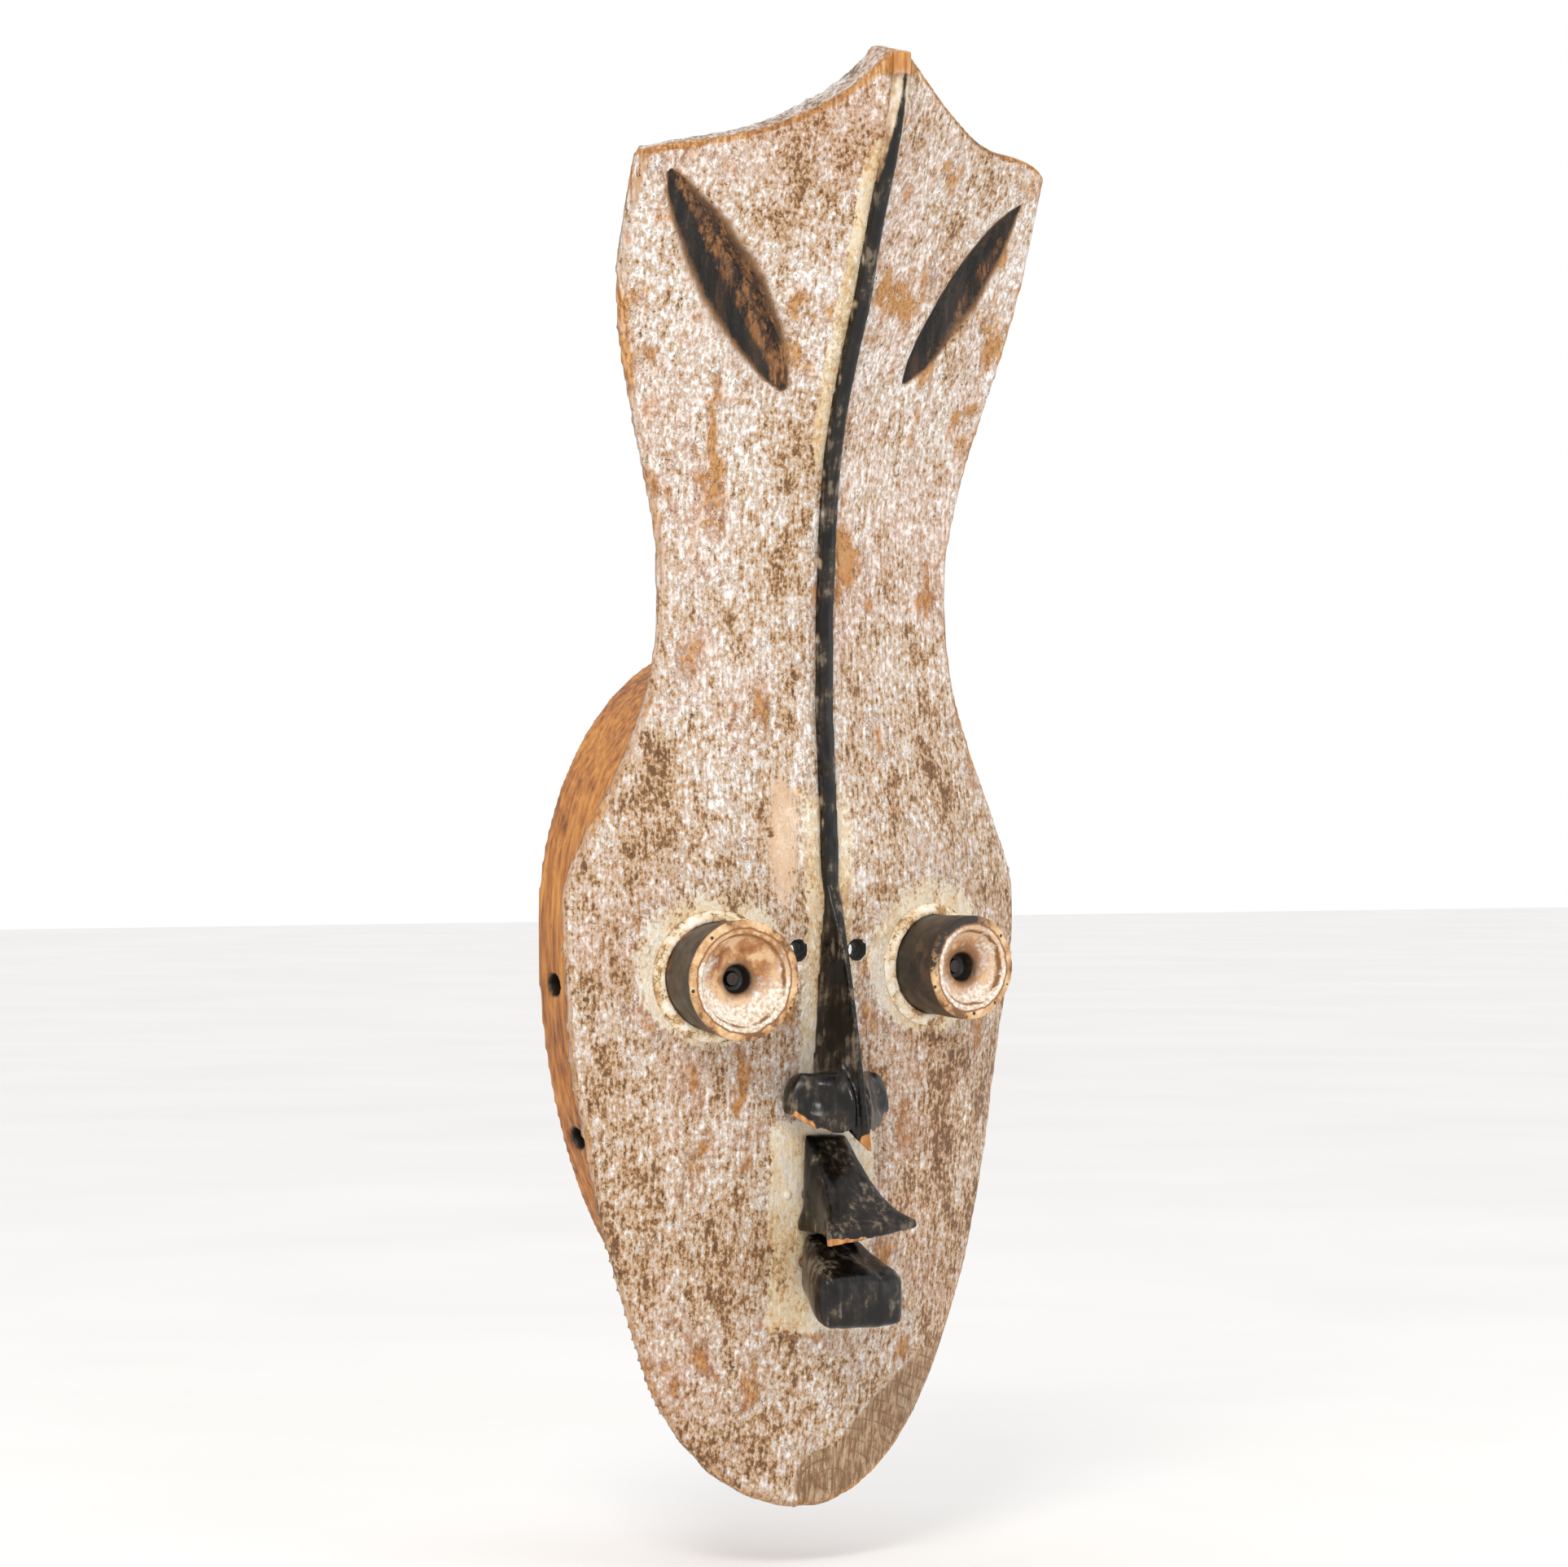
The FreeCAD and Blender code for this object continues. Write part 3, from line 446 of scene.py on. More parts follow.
# The zones: a stored mark plus the border noise, cut, gives each zone a ragged outline.
ZONES = [
    ("border", {"drift": 0.35, "patch": 0.3, "fleck": 0.35}),
    ("clay", {"fleck": 0.5, "drift": 0.5}, (0.42, "#C79C69"), (0.47, "#E6CBA2"),
     (0.53, "#F3E2C6"), (0.60, "#FCF5EA")),
    ("clayed", {"border": 3.4, "cream": 1.0}, 2.05, 2.35),
    ("colour", "colour", "clay", "clayed"),
    ("skin", {"drift": 1.0}, (0.42, "#DDB48B"), (0.58, "#F1D5B9")),
    ("skinned", {"border": 4.2, "peach": 1.0}, 2.60, 2.82),
    ("colour", "colour", "skin", "skinned"),
    ("end_grain", {"streak": 0.6, "fleck": 0.4}, (0.42, "#7A5737"), (0.50, "#A07A54"),
     (0.58, "#C4A98B")),
    ("end_grain", "end_grain", "#83603E", "ring_line"),
    ("bared", {"border": 3.2, "bare": 1.0}, 2.06, 2.22),
    ("colour", "colour", "end_grain", "bared"),
    ("raw", {"streak": 0.4, "fleck": 0.3, "drift": 0.3}, (0.41, "#6B4220"),
     (0.47, "#A0692F"), (0.53, "#C98E52"), (0.59, "#DDAF7C")),
    ("rubbed", {"border": 2.2, "arris": 1.0}, 1.60, 1.76),
    ("colour", "colour", "raw", "rubbed"),
    ("top", {"streak": 0.3, "patch": 0.4, "fleck": 0.3}, (0.42, "#5A4A3C"),
     (0.47, "#A3968A"), (0.53, "#E4DED8"), (0.58, "#FBF9F7")),
    ("colour", "colour", "top", "crest_top"),
    ("unpainted", {"broad_streak": 0.5, "drift": 0.3, "fleck": 0.2}, (0.42, "#4F341C"),
     (0.50, "#7E5530"), (0.58, "#A67A4C")),
    ("colour", "colour", "unpainted", "back"),
]

# The slashes: a brown halo, then soot; their walls that face left, towards the key light, get a
# lighter wood brown as a painted highlight.
SLASH_COATS = [
    ("soot", {"broad_streak": 0.7, "fleck": 0.3}, (0.44, "#15110D"), (0.52, "#2A221A"),
     (0.60, "#4A3320")),
    # Painted highlight: the lighter wood brown for slash walls that face the key light.
    ("shaved", {"streak": 0.5, "broad_streak": 0.5}, (0.43, "#241A12"), (0.50, "#5B3C23"),
     (0.58, "#9A6A40")),
    ("lit", {"border": 3.0, "slash_lit": 1.0}, 2.00, 2.25),
    ("soot", "soot", "shaved", "lit"),
    ("halo", {"fleck": 0.5, "patch": 0.5}, (0.44, "#5F3F22"), (0.56, "#A87B50")),
    ("near_slash", {"border": 2.2, "slash": 1.0}, 1.26, 1.52),
    ("colour", "colour", "halo", "near_slash"),
    ("in_slash", {"border": 2.6, "slash": 1.0}, 1.76, 2.02),
    ("colour", "colour", "soot", "in_slash"),
    # Painted shade: near black over the sight holes' walls and lips.
    ("bored", {"border": 0.8, "pit": 1.0}, 0.85, 0.95),
    ("colour", "colour", "#1A140E", "bored"),
    ("height", {"chalk": 0.5, "streak": 0.35, "fleck": 0.8, "patch": 0.6, "dirt": -0.5,
                "torn": -0.4, "ring_line": -0.25}),
    ("gloss", {"chalk": 0.6, "fleck": 0.4}),
]


def kaolin_on_wood():
    material, tree, shader, read = finish("kaolin wash on carved hardwood", KAOLIN_GRAINS,
                                          KAOLIN_MARKS)
    read["turn"] = add(tree, "ShaderNodeMath", {0: read["ring"], 1: 1.0},
                       operation="FRACT").outputs["Value"]
    read["contour"] = add(tree, "ShaderNodeMath", {0: read["patch"], 1: 0.530, 2: 0.0040},
                          operation="COMPARE").outputs["Value"]
    build(tree, read, [("loose", {"drift": 1.0}, 0.50, 0.56),
                       ("ringed", {"turn": 1.0}, 0.30, 0.02),
                       ("clean", {"patch": 1.0}, 0.40, 0.52)])
    for name, first, second in (("torn", "contour", "loose"), ("ring_line", "ringed", "clean")):
        read[name] = add(tree, "ShaderNodeMath", {0: read[first], 1: read[second]},
                         operation="MULTIPLY").outputs["Value"]
    build(tree, read, WASH + ZONES + SLASH_COATS)
    wear_the_finish(tree, shader, read, 0.8, 0.6, (0.0, 1.0, 0.42, 0.72))
    return material


kaolin = kaolin_on_wood()
print("material", kaolin.name, "has", len(kaolin.node_tree.nodes), "nodes")

# %% [markdown]
# The board
#
# On the real mask the board is one thick plank, hewn with an adze: the crest is a blunt
# keel with two leaning wings, the face a low dome. Its faces are never flat, and its
# edges are rounded by the knife and by hands. The even skin is moved by broad, shallow
# facets, by long thin grain, and by small losses along the sharp edges. The places that
# the paint treats by themselves are stored on the points: the worn edges, the two blackened
# slashes, the cream clay beside the ridge and round the eyes, and the bare end of the chin.


# %% Places on the board, from the frame
EYE_SPLAY = math.radians(5.7)
EYE_DROOP = math.radians(2.0)


def eye_line(side):
    """The middle of an eye's rim and the direction that it looks in, in mm."""
    node = "left_eye_tube" if side < 0 else "right_eye_tube"
    aim = np.array([side * math.sin(EYE_SPLAY), -math.cos(EYE_SPLAY), -math.tan(EYE_DROOP)])
    aim /= np.linalg.norm(aim)
    mesh = frame["nodes"][node].data
    points = points_of(mesh)
    along = points @ aim
    rim = points[along > along.max() - 0.6]
    middle = 0.5 * (rim.min(axis=0) + rim.max(axis=0))
    return middle, aim


EYES = {side: eye_line(side) for side in (-1, 1)}
SIGHT_SPREAD = 17.0
SIGHT_HEIGHT = 0.5 * (EYES[-1][0][2] + EYES[1][0][2]) + 11.0
NOSE_LOW, NOSE_HIGH = (np.array(corner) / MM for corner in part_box("nose"))
BOARD_TOP = BOARD_HIGH[2] / MM
BOARD_FOOT = BOARD_LOW[2] / MM
HALF_WIDTH = BOARD_HIGH[0] / MM
CREST_HALF_WIDTH = 0.878 * HALF_WIDTH
SLASHES = {-1: ((CREST_HALF_WIDTH - 13.0, 64.0), (75.0, 102.0), 11.5),
           1: ((CREST_HALF_WIDTH - 13.0, 71.0), (60.0, 89.0), 9.5)}


def slash_place(points, side):
    """1 inside a slash's almond, falling to 0 outside it."""
    (top_x, drop), run, half_width = SLASHES[side]
    top = np.array([side * top_x, BOARD_TOP - drop])
    axis = np.array([-side * run[0], -run[1]])
    length = np.linalg.norm(axis)
    axis = axis / length
    offset = points[:, [0, 2]] - top
    along = offset @ axis / length
    across = np.abs(offset @ np.array([-axis[1], axis[0]]))
    profile = np.clip(1 - (2 * along - 1) ** 2, 0.0, 1.0) ** 0.75
    return step(1.7, 0.4, across / (half_width * profile + 0.01)) * (profile > 0)


CHIN_KNOT = np.array([15.0, BOARD_FOOT + 13.0])
RING_PITCH = 5.0


def growth_rings(points):
    """Rings that crowd round the knot at the chin, one per unit."""
    offset = points[:, [0, 2]] - CHIN_KNOT
    reach = np.hypot(offset[:, 0] * 0.55, offset[:, 1] * 1.0)
    return reach / RING_PITCH + 0.12 * noise(points, 30.0, 5)


print("eyes look from", EYES[-1][0].round(1), "and", EYES[1][0].round(1))

# %% [markdown]
# Where the cream clay lies
#
# Thicker cream clay was rubbed in beside the ridge, over the bridge of the nose, and round the
# eyes and lips. It could be painted by hand on the mesh. Distances from the joinery's own
# boxes are used instead, so the clay stays beside the lips and eyes wherever they are.


# %% Cream clay
def cream_clay(points):
    x, _, z = points.T
    beside_ridge = step(-14.0, -9.0, x) * step(2.0, -2.0, x)
    beside_ridge *= step(75.0, 100.0, z) * step(262.0, 225.0, z)
    strip_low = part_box("crest_ridge")[0][2] / MM
    bridge = step(22.0, 9.0, np.abs(x)) * step(NOSE_LOW[2] + 5, NOSE_LOW[2] + 30, z)
    bridge *= step(strip_low + 70, strip_low + 20, z)
    cream = np.maximum(beside_ridge, 0.8 * bridge)
    for middle, aim in EYES.values():
        offset = points - middle
        away = np.linalg.norm(offset - (offset @ aim)[:, None] * aim, axis=1)
        above = step(-30.0, 20.0, offset[:, 2])
        cream = np.maximum(cream, 0.8 * step(40.0 + 12.0 * above, 30.0, away))
    for node in ("upper_lip", "lower_lip"):
        low, high = (np.array(corner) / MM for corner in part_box(node))
        gap_x = np.maximum(low[0] - x, x - high[0])
        gap_z = np.maximum(low[2] - z, z - high[2])
        gap = np.hypot(np.clip(gap_x, 0.0, None), np.clip(gap_z, 0.0, None))
        cream = np.maximum(cream, 0.8 * step(7.0, 0.0, gap))
    return cream


# %% [markdown]
# Bare wood, holes and rubbed edges
#
# The chin's right side is bare to the growth rings, a worn patch shows beside the ridge, and
# the edges are rubbed orange, most of all at the crest's peak. Each is a soft shape in the
# board's own width and height; the edges come from how far a point stands proud.


# %% The board's other zones
def bare_end(x, z):
    """The bare right side of the chin, and the knot beside it."""
    chin = np.stack([x - 52.0, z - BOARD_FOOT - 40.0], axis=1)
    turned = chin @ np.array([[0.77, -0.64], [0.64, 0.77]])
    bare = step(1.35, 0.6, np.hypot(turned[:, 0] / 66.0, turned[:, 1] / 17.0))
    knot = np.hypot((x - 15.0) / 22.0, (z - BOARD_FOOT - 12.0) / 17.0)
    return np.maximum(bare, step(1.2, 0.8, knot))


def shade_in_sight_holes(x, z):
    """Painted shade: the walls and lips of the two sight holes, darkened as the shade inside
    them.
    """
    pit = 0 * x
    for side in (-1, 1):
        away = np.hypot(x - side * SIGHT_SPREAD, z - SIGHT_HEIGHT)
        pit = np.maximum(pit, step(6.2, 4.9, away))
    return pit


def rubbed_edges(points, normals, edge, spared):
    """Edges worn to bare wood, and the peak of the crest."""
    z = points[:, 2]
    crest_edge = step(BOARD_TOP - 95, BOARD_TOP - 60, z) * step(0.05, 0.35, normals[:, 2])
    arris = step(0.10, 0.5, edge) * (0.56 + 0.6 * crest_edge) * spared
    peak = np.linalg.norm(points - points[z.argmax()] * np.array([0, 1, 1]), axis=1)
    return np.maximum(arris, 1.2 * step(30.0, 18.0, peak) * step(0.0, -0.5, normals[:, 1]))


print("sight holes at", round(SIGHT_HEIGHT, 1), "mm")


# %% Carve and mark the board
BOARD_SKIN = 2.03


def mark_board(mesh, points, normals, edge, slashes):
    """Stores every zone that the paint reads."""
    x, _, z = points.T
    front = step(0.0, -0.5, normals[:, 1])
    top = step(0.55, 0.75, normals[:, 2]) * step(BOARD_TOP - 110, BOARD_TOP - 80, z)
    peach = step(17.0, 0.0, np.abs(x + 25.0)) * step(58.0, 4.0, np.abs(z + 92.0))
    thick = step(BOARD_FOOT + 20.0, 120.0, z) - 0.6 * step(30.0, 95.0, x) * step(60.0, 0.0, z)
    # The sight holes are marked for painted shade.
    pit = shade_in_sight_holes(x, z)
    store(mesh, thick=thick, slash=slashes, pit=pit, ring=growth_rings(points),
          arris=rubbed_edges(points, normals, edge, (1 - pit) * (1 - slashes)),
          # Slash walls that face left, towards the key light, are marked for a painted
          # highlight.
          slash_lit=slashes * step(0.1, -0.35, normals[:, 0]), peach=peach * front,
          cream=cream_clay(points) * front, bare=bare_end(x, z) * front,
          crest_top=top * (1 - front), back=step(0.1, 0.4, normals[:, 1]),
          blister=front * (1 - slashes) * step(-20.0, -80.0, z))


def carve_board():
    """Facets, grain, chips and sunk slashes; the flat glued back stays where it is."""
    piece = solid_copy("carved_board", ["face_board"], BOARD_SKIN)
    mesh = piece.data
    points = eased(mesh, points_of(mesh), 3)
    move_to(mesh, points)
    normals = normals_of(mesh)
    edge = crown(mesh, points, normals, 10)
    slashes = np.maximum(slash_place(points, -1), slash_place(points, 1))
    slashes *= normals[:, 1] < 0.2
    facets = 0.5 * noise(points, (20.0, 20.0, 40.0), 1, 2)
    grain = 0.09 * noise(points, (2.6, 2.6, 30.0), 2) * (1 + 4 * slashes)
    chips = -0.6 * step(0.3, 1.0, noise(points, 22.0, 3, 2)) * step(0.12, 0.5, edge)
    lifted = facets + grain + chips - 1.2 * slashes
    points = points + normals * np.where(points[:, 1] > -0.5, 0.0, lifted)[:, None]
    move_to(mesh, points)
    mark_board(mesh, points, normals, edge, slashes)
    return piece


board = carve_board()
print("board carved,", len(board.data.polygons), "faces")

# %% [markdown]
# Blisters in the paint
#
# Damp has lifted the clay in small round blisters, thickest on the face. They are many, alike
# and they follow the board's surface, which is what geometry nodes are for: points scattered
# on the carved faces where a stored mask allows them, a flattened ball of few faces on each,
# turned to the surface, and then everything made real in one mesh.


# %% A tree that scatters grains on a surface
def grain_tree(name, mask, material):
    """Flattened balls on a mesh; inputs are how many a square metre and their radius."""
    tree = bpy.data.node_groups.new(name, "GeometryNodeTree")
    for label, kind in (("Geometry", "NodeSocketGeometry"), ("Count", "NodeSocketFloat"),
                        ("Radius", "NodeSocketFloat"), ("Flatness", "NodeSocketFloat")):
        tree.interface.new_socket(label, in_out="INPUT", socket_type=kind)
    tree.interface.new_socket("Geometry", in_out="OUTPUT", socket_type="NodeSocketGeometry")
    given = tree.nodes.new("NodeGroupInput").outputs
    allowed = add(tree, "GeometryNodeInputNamedAttribute", {"Name": mask}, data_type="FLOAT")
    density = add(tree, "ShaderNodeMath", {0: given["Count"], 1: allowed.outputs["Attribute"]},
                  operation="MULTIPLY")
    spots = add(tree, "GeometryNodeDistributePointsOnFaces",
                {"Mesh": given["Geometry"], "Density": density.outputs["Value"], "Seed": 7})
    ball = add(tree, "GeometryNodeMeshIcoSphere", {"Radius": given["Radius"],
                                                   "Subdivisions": 2})
    size = add(tree, "FunctionNodeRandomValue", {2: 0.45, 3: 1.2, "Seed": 3},
               data_type="FLOAT").outputs[1]
    low = add(tree, "ShaderNodeMath", {0: size, 1: given["Flatness"]}, operation="MULTIPLY")
    scale = add(tree, "ShaderNodeCombineXYZ", {"X": size, "Y": size, "Z": low.outputs[0]})
    grains = add(tree, "GeometryNodeInstanceOnPoints",
                 {"Points": spots.outputs["Points"], "Instance": ball.outputs["Mesh"],
                  "Rotation": spots.outputs["Rotation"], "Scale": scale.outputs["Vector"]})
    real = add(tree, "GeometryNodeRealizeInstances", {"Geometry": grains.outputs["Instances"]})
    smooth = add(tree, "GeometryNodeSetShadeSmooth", {"Geometry": real.outputs["Geometry"]})
    dressed = add(tree, "GeometryNodeSetMaterial", {"Geometry": smooth.outputs["Geometry"],
                                                    "Material": material})
    add(tree, "NodeGroupOutput", {"Geometry": dressed.outputs["Geometry"]})
    return tree


def scatter(name, surface, tree, count, radius, flatness):
    """Runs a grain tree over a piece's mesh and keeps the grains as a piece of their own."""
    block = bpy.data.objects.new(name + "_block", surface.data.copy())
    bpy.context.collection.objects.link(block)
    grains = block.modifiers.new("grains", "NODES")
    grains.node_group = tree
    values = {"Count": count, "Radius": radius * MM, "Flatness": flatness}
    for socket in tree.interface.items_tree:
        if socket.in_out == "INPUT" and socket.name in values:
            grains[socket.identifier] = values[socket.name]
    mesh = plain(block)
    mesh.name = name
    piece = bpy.data.objects.new(name, mesh)
    bpy.context.collection.objects.link(piece)
    return piece


# %% Blisters on the face
blisters = scatter("paint_blisters", board, grain_tree("paint blisters", "blister", kaolin),
                   1500.0, 2.1, 0.5)
settle(blisters, kaolin, "painted_board")
settle(board, kaolin, "painted_board", "face_board")

# %% [markdown]
# The collar
#
# The collar is left unpainted: an oval hoop of the same tree, with the grain running up
# and down, knife marks across it, darker pores and the two drilled lacing holes a side, whose
# walls and edges are darkened as painted shade.


# %% Bare wood
# Bare hardwood, cut with a knife and oiled by hands: brown, a little glossy, streaked along
# the grain. Its pores are really a quarter of a millimetre wide and are drawn larger here.
WOOD_GRAINS = [
    ("streak", 3.0303, 11.111, 5.0, 0.62, 0.2),
    ("slow", 38.46, 1.0, 4.0, 0.5, 0.0),
    ("knot", 52.63, 1.0, 2.0, 0.5, 0.5),
]
PORE_SPACING = 2.381
PORE_STRETCH = 6.25


def bare_wood(name, dark, middle, light, gloss):
    """Oiled or handled hardwood: streaks along Z, pores, and slow changes of tone."""
    material, tree, shader, read = finish(name, WOOD_GRAINS, ("hole",))
    along = add(tree, "ShaderNodeMapping", {"Vector": read["place"],
                                            "Scale": (1, 1, 1 / PORE_STRETCH)})
    cells = add(tree, "ShaderNodeTexVoronoi", {"Vector": along.outputs["Vector"],
                                               "Scale": 1 / (PORE_SPACING * MM)})
    read["cell"] = cells.outputs["Distance"]
    build(tree, read, [
        ("colour", {"slow": 0.45, "streak": 1.0}, (0.50, dark), (0.70, middle), (0.92, light)),
        ("pore", {"cell": 1.0}, 0.13, 0.06),
        ("colour", "colour", dark, "pore"),
        ("knotty", {"knot": 1.0}, 0.66, 0.74),
        ("colour", "colour", "#5A3518", "knotty"),
        # Painted shade: near black over the walls and edges of the lacing holes.
        ("colour", "colour", "#1F160E", "hole"),
        ("height", {"pore": -0.8, "streak": 1.0}),
        ("gloss", {"slow": 1.0}),
    ])
    wear_the_finish(tree, shader, read, 0.6, 0.4, (0.0, 1.0, gloss - 0.08, gloss + 0.1))
    return material


collar_wood = bare_wood("handled bare hardwood", "#66360E", "#AA692A", "#D08F46", 0.56)
print("material", collar_wood.name)

# %% Carve the collar
COLLAR_NODES = ["collar_top_arch", "collar_left_side", "collar_right_side",
                "collar_bottom_arch"]
COLLAR_SKIN = 1.75
LACE_HOLE = 5.6


def carve_collar():
    """The four segments as one hoop, grown a little so that their glue lines close."""
    piece = solid_copy("carved_collar", COLLAR_NODES, COLLAR_SKIN, grow=0.12)
    mesh = piece.data
    points = eased(mesh, points_of(mesh), 2)
    move_to(mesh, points)
    normals = normals_of(mesh)
    side = step(0.5, 0.2, np.abs(normals[:, 1]))
    # Painted shade: each lacing hole's wall and a millimetre around it are marked to be
    # darkened.
    hole = np.zeros(len(points))
    for mount in frame["record"]["mounts"]:
        if mount["kind"] == "bore":
            axis = np.array(mount["axis"])
            offset = points - np.array(mount["pos_m"]) / MM
            away = np.linalg.norm(offset - (offset @ axis)[:, None] * axis, axis=1)
            near = np.abs(offset @ axis) < 20.0
            hole = np.maximum(hole, near * step(LACE_HOLE + 1.0, LACE_HOLE, away))
    store(mesh, hole=hole)
    facets = 0.35 * noise(points, (14.0, 22.0, 14.0), 11, 2)
    grain = 0.08 * noise(points, (2.4, 2.4, 26.0), 12)
    points = points + normals * (side * (facets + grain))[:, None]
    move_to(mesh, points)
    settle(piece, collar_wood, "bare_wood", *COLLAR_NODES)


carve_collar()

# %% [markdown]
# Ridge, nose and lips
#
# These are blackened with soot and oil and then rubbed, so they shine, and they have lost
# their black where hands and knocks reach: along the nose's edge, at its tip, and on the
# thin front of the upper lip, where raw orange wood shows. The nose's two wings are not
# balls but leaves that sweep forward to the blade, so the copy of the solid is pushed back
# there before it is smoothed. The finish of all of them comes first.


# %% Blackened wood
# Soot in oil over hardwood: near black, with a deep uneven gloss, and streaks of the wood's
# own brown where it has been rubbed. Clay rubbed in beside the ridge covers part of it.
BLACK_GRAINS = [
    ("streak", 2.6316, 8.3333, 5.0, 0.5, 0.0),
    ("rub", 16.13, 1.0, 6.0, 0.65, 0.0),
]


def blackened_wood():
    material, tree, shader, read = finish("soot and oil on carved hardwood", BLACK_GRAINS,
                                          ("worn", "chalked"))
    build(tree, read, [
        ("height", {"streak": 0.5, "rub": 1.0}),
        ("colour", {"height": 1.0}, (0.62, "#0A0807"), (0.74, "#15110D"),
         (0.83, "#2C241C"), (0.92, "#6E6252")),
        ("brown", {"height": 1.3, "worn": 1.0}, 1.42, 1.60),
        ("colour", "colour", "#6A4728", "brown"),
        ("wood", {"streak": 1.0}, (0.35, "#A2642F"), (0.6, "#D39A5E")),
        ("raw", {"height": 1.3, "worn": 1.0}, 1.63, 1.70),
        ("colour", "colour", "wood", "raw"),
        ("clay", {"rub": 1.0}, (0.40, "#A98660"), (0.50, "#DCC5A4"), (0.60, "#F4EADC")),
        ("colour", "colour", "clay", "chalked"),
        ("gloss", {"rub": 1.0}),
    ])
    wear_the_finish(tree, shader, read, 0.5, 0.5, (0.3, 0.7, 0.14, 0.38))
    shader.inputs["Specular IOR Level"].default_value = 0.36
    return material


soot = blackened_wood()
print("material", soot.name)

# %% [markdown]
# One rule for the black pieces
#
# The strip, nose and lips are made alike: a fine skin, a shape rule, rounded edges, knife
# facets and grain, and then wear wherever a point stands proud. Only their rules differ, so
# one function takes the rules as functions of the points.


# %% Carving a black piece
BLACK_SKIN = 0.85
SEAM = NOSE_HIGH[2]


def carve_black(name, node, voxel, rounds, shape=None, facets=0.25, worn=None, chalked=None,
                soft=None):
    """A blackened piece; shape, worn, chalked and soft are rules over its points, in mm."""
    piece = solid_copy(name, [node], voxel, shape)
    mesh = piece.data
    points = eased(mesh, points_of(mesh), rounds)
    if soft:
        points = points + soft(points)[:, None] * (eased(mesh, points, 160) - points)
    move_to(mesh, points)
    normals = normals_of(mesh)
    edge = crown(mesh, points, normals, 8)
    lift = facets * noise(points, (9.0, 9.0, 20.0), 21, 2)
    lift += 0.05 * noise(points, (1.8, 1.8, 16.0), 22)
    points = points + normals * lift[:, None]
    move_to(mesh, points)
    wear = 0.56 * step(0.08, 0.45, edge) * step(6.0, 14.0, np.abs(points[:, 2] - SEAM))
    if worn:
        wear = np.maximum(wear, worn(points, normals))
    store(mesh, worn=wear)
    if chalked:
        store(mesh, chalked=chalked(points))
    settle(piece, soot, "black_wood", node)


print("the strip and nose meet at", round(SEAM, 1), "mm")

# %% [markdown]
# The ridge strip
#
# A strip let into the crest that tapers to a thin black line, because clay was rubbed over
# its sides. Its foot runs on into the nose and its top end is rubbed to bare wood.

# %% Strip rules
RIDGE_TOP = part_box("crest_ridge")[1][2] / MM
STRIP_SKIN = 0.9


def strip_black(points):
    """How much of the strip's sides the clay covers: the black line tapers to the peak."""
    half = 1.0 + 3.2 * step(RIDGE_TOP - 8.0, RIDGE_TOP - 75.0, points[:, 2])
    half = half + 0.5 * noise(points, 5.0, 27, 2)
    clay = step(half - 0.3, half + 0.3, np.abs(points[:, 0]))
    return 0.9 * clay * step(RIDGE_TOP - 9.0, RIDGE_TOP - 16.0, points[:, 2])


def strip_foot(points):
    """Runs the strip's foot on into the top of the nose, so that no gap opens between."""
    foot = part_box("crest_ridge")[0][2] / MM
    drop = 5.0 * step(foot + 4.0, foot + 1.0, points[:, 2])
    return points - np.stack([0 * drop, 0 * drop, drop], axis=1)


def strip_wear(points, normals):
    """Bare wood on the strip's top end."""
    return 1.2 * step(RIDGE_TOP - 16.0, RIDGE_TOP - 9.0, points[:, 2])


carve_black("ridge_strip", "crest_ridge", STRIP_SKIN, 5, shape=strip_foot,
            worn=strip_wear, chalked=strip_black)

# %% [markdown]
# The nose
#
# A long blade with two leaves that sweep forward to its tip. The joinery has round wings and
# this rule pushes them back and cuts their lower edge on a slope, then hollows each one.


# %% Nose rules
def nose_leaves(points):
    """Turns the nose's round wings into leaves that sweep forward to the blade's tip."""
    x, y, z = points.T
    outer, front, tip = NOSE_HIGH[0], NOSE_LOW[1], NOSE_LOW[2]
    reach = np.abs(x)
    wing = step(1.5, 5.0, reach) * step(tip + 52.0, tip + 40.0, z)
    leaf = front + 27.0 - 27.0 * np.clip((outer - reach) / outer, 0.0, 1.0) ** 1.5
    leaf = leaf + 10.0 * np.clip((z - tip - 20.0) / 20.0, 0.0, 1.0) ** 2
    y = np.where((y < -104.0) | (leaf > y), y + 0.9 * wing * (leaf - y), y)
    floor = tip + 0.72 * np.clip(reach - 3.0, 0.0, None)
    z = np.where(floor > z, z + 0.9 * wing * (floor - z), z)
    z = z + 4.0 * step(14.0, 23.0, reach) * step(tip + 20.0, tip + 30.0, z)
    hollow = np.hypot(reach - 16.5, z - tip - 25.0)
    y = y + 3.4 * step(9.0, 1.0, hollow) * step(-105.0, -112.0, y)
    neck = step(NOSE_HIGH[2] - 45.0, NOSE_HIGH[2] - 4.0, z)
    wide = np.sign(x) * np.minimum(reach * 3.0, np.maximum(reach, 3.8))
    return np.stack([x + neck * (wide - x), y, z], axis=1)


def nose_wear(points, normals):
    """Bare wood at the nose's tip and in flakes on the wings' lower edges."""
    tip = np.linalg.norm(points - np.array([0.0, NOSE_LOW[1] + 1.0, NOSE_LOW[2] + 2.0]), axis=1)
    reach = np.abs(points[:, 0])
    floor = NOSE_LOW[2] + 0.72 * np.clip(reach - 3.0, 0.0, None)
    under = step(4.5, 1.5, points[:, 2] - floor) * step(5.0, 9.0, reach)
    flake = step(0.1, 0.6, noise(points, 8.0, 25, 2))
    return np.maximum(1.15 * step(10.0, 5.0, tip), 1.1 * under * flake)


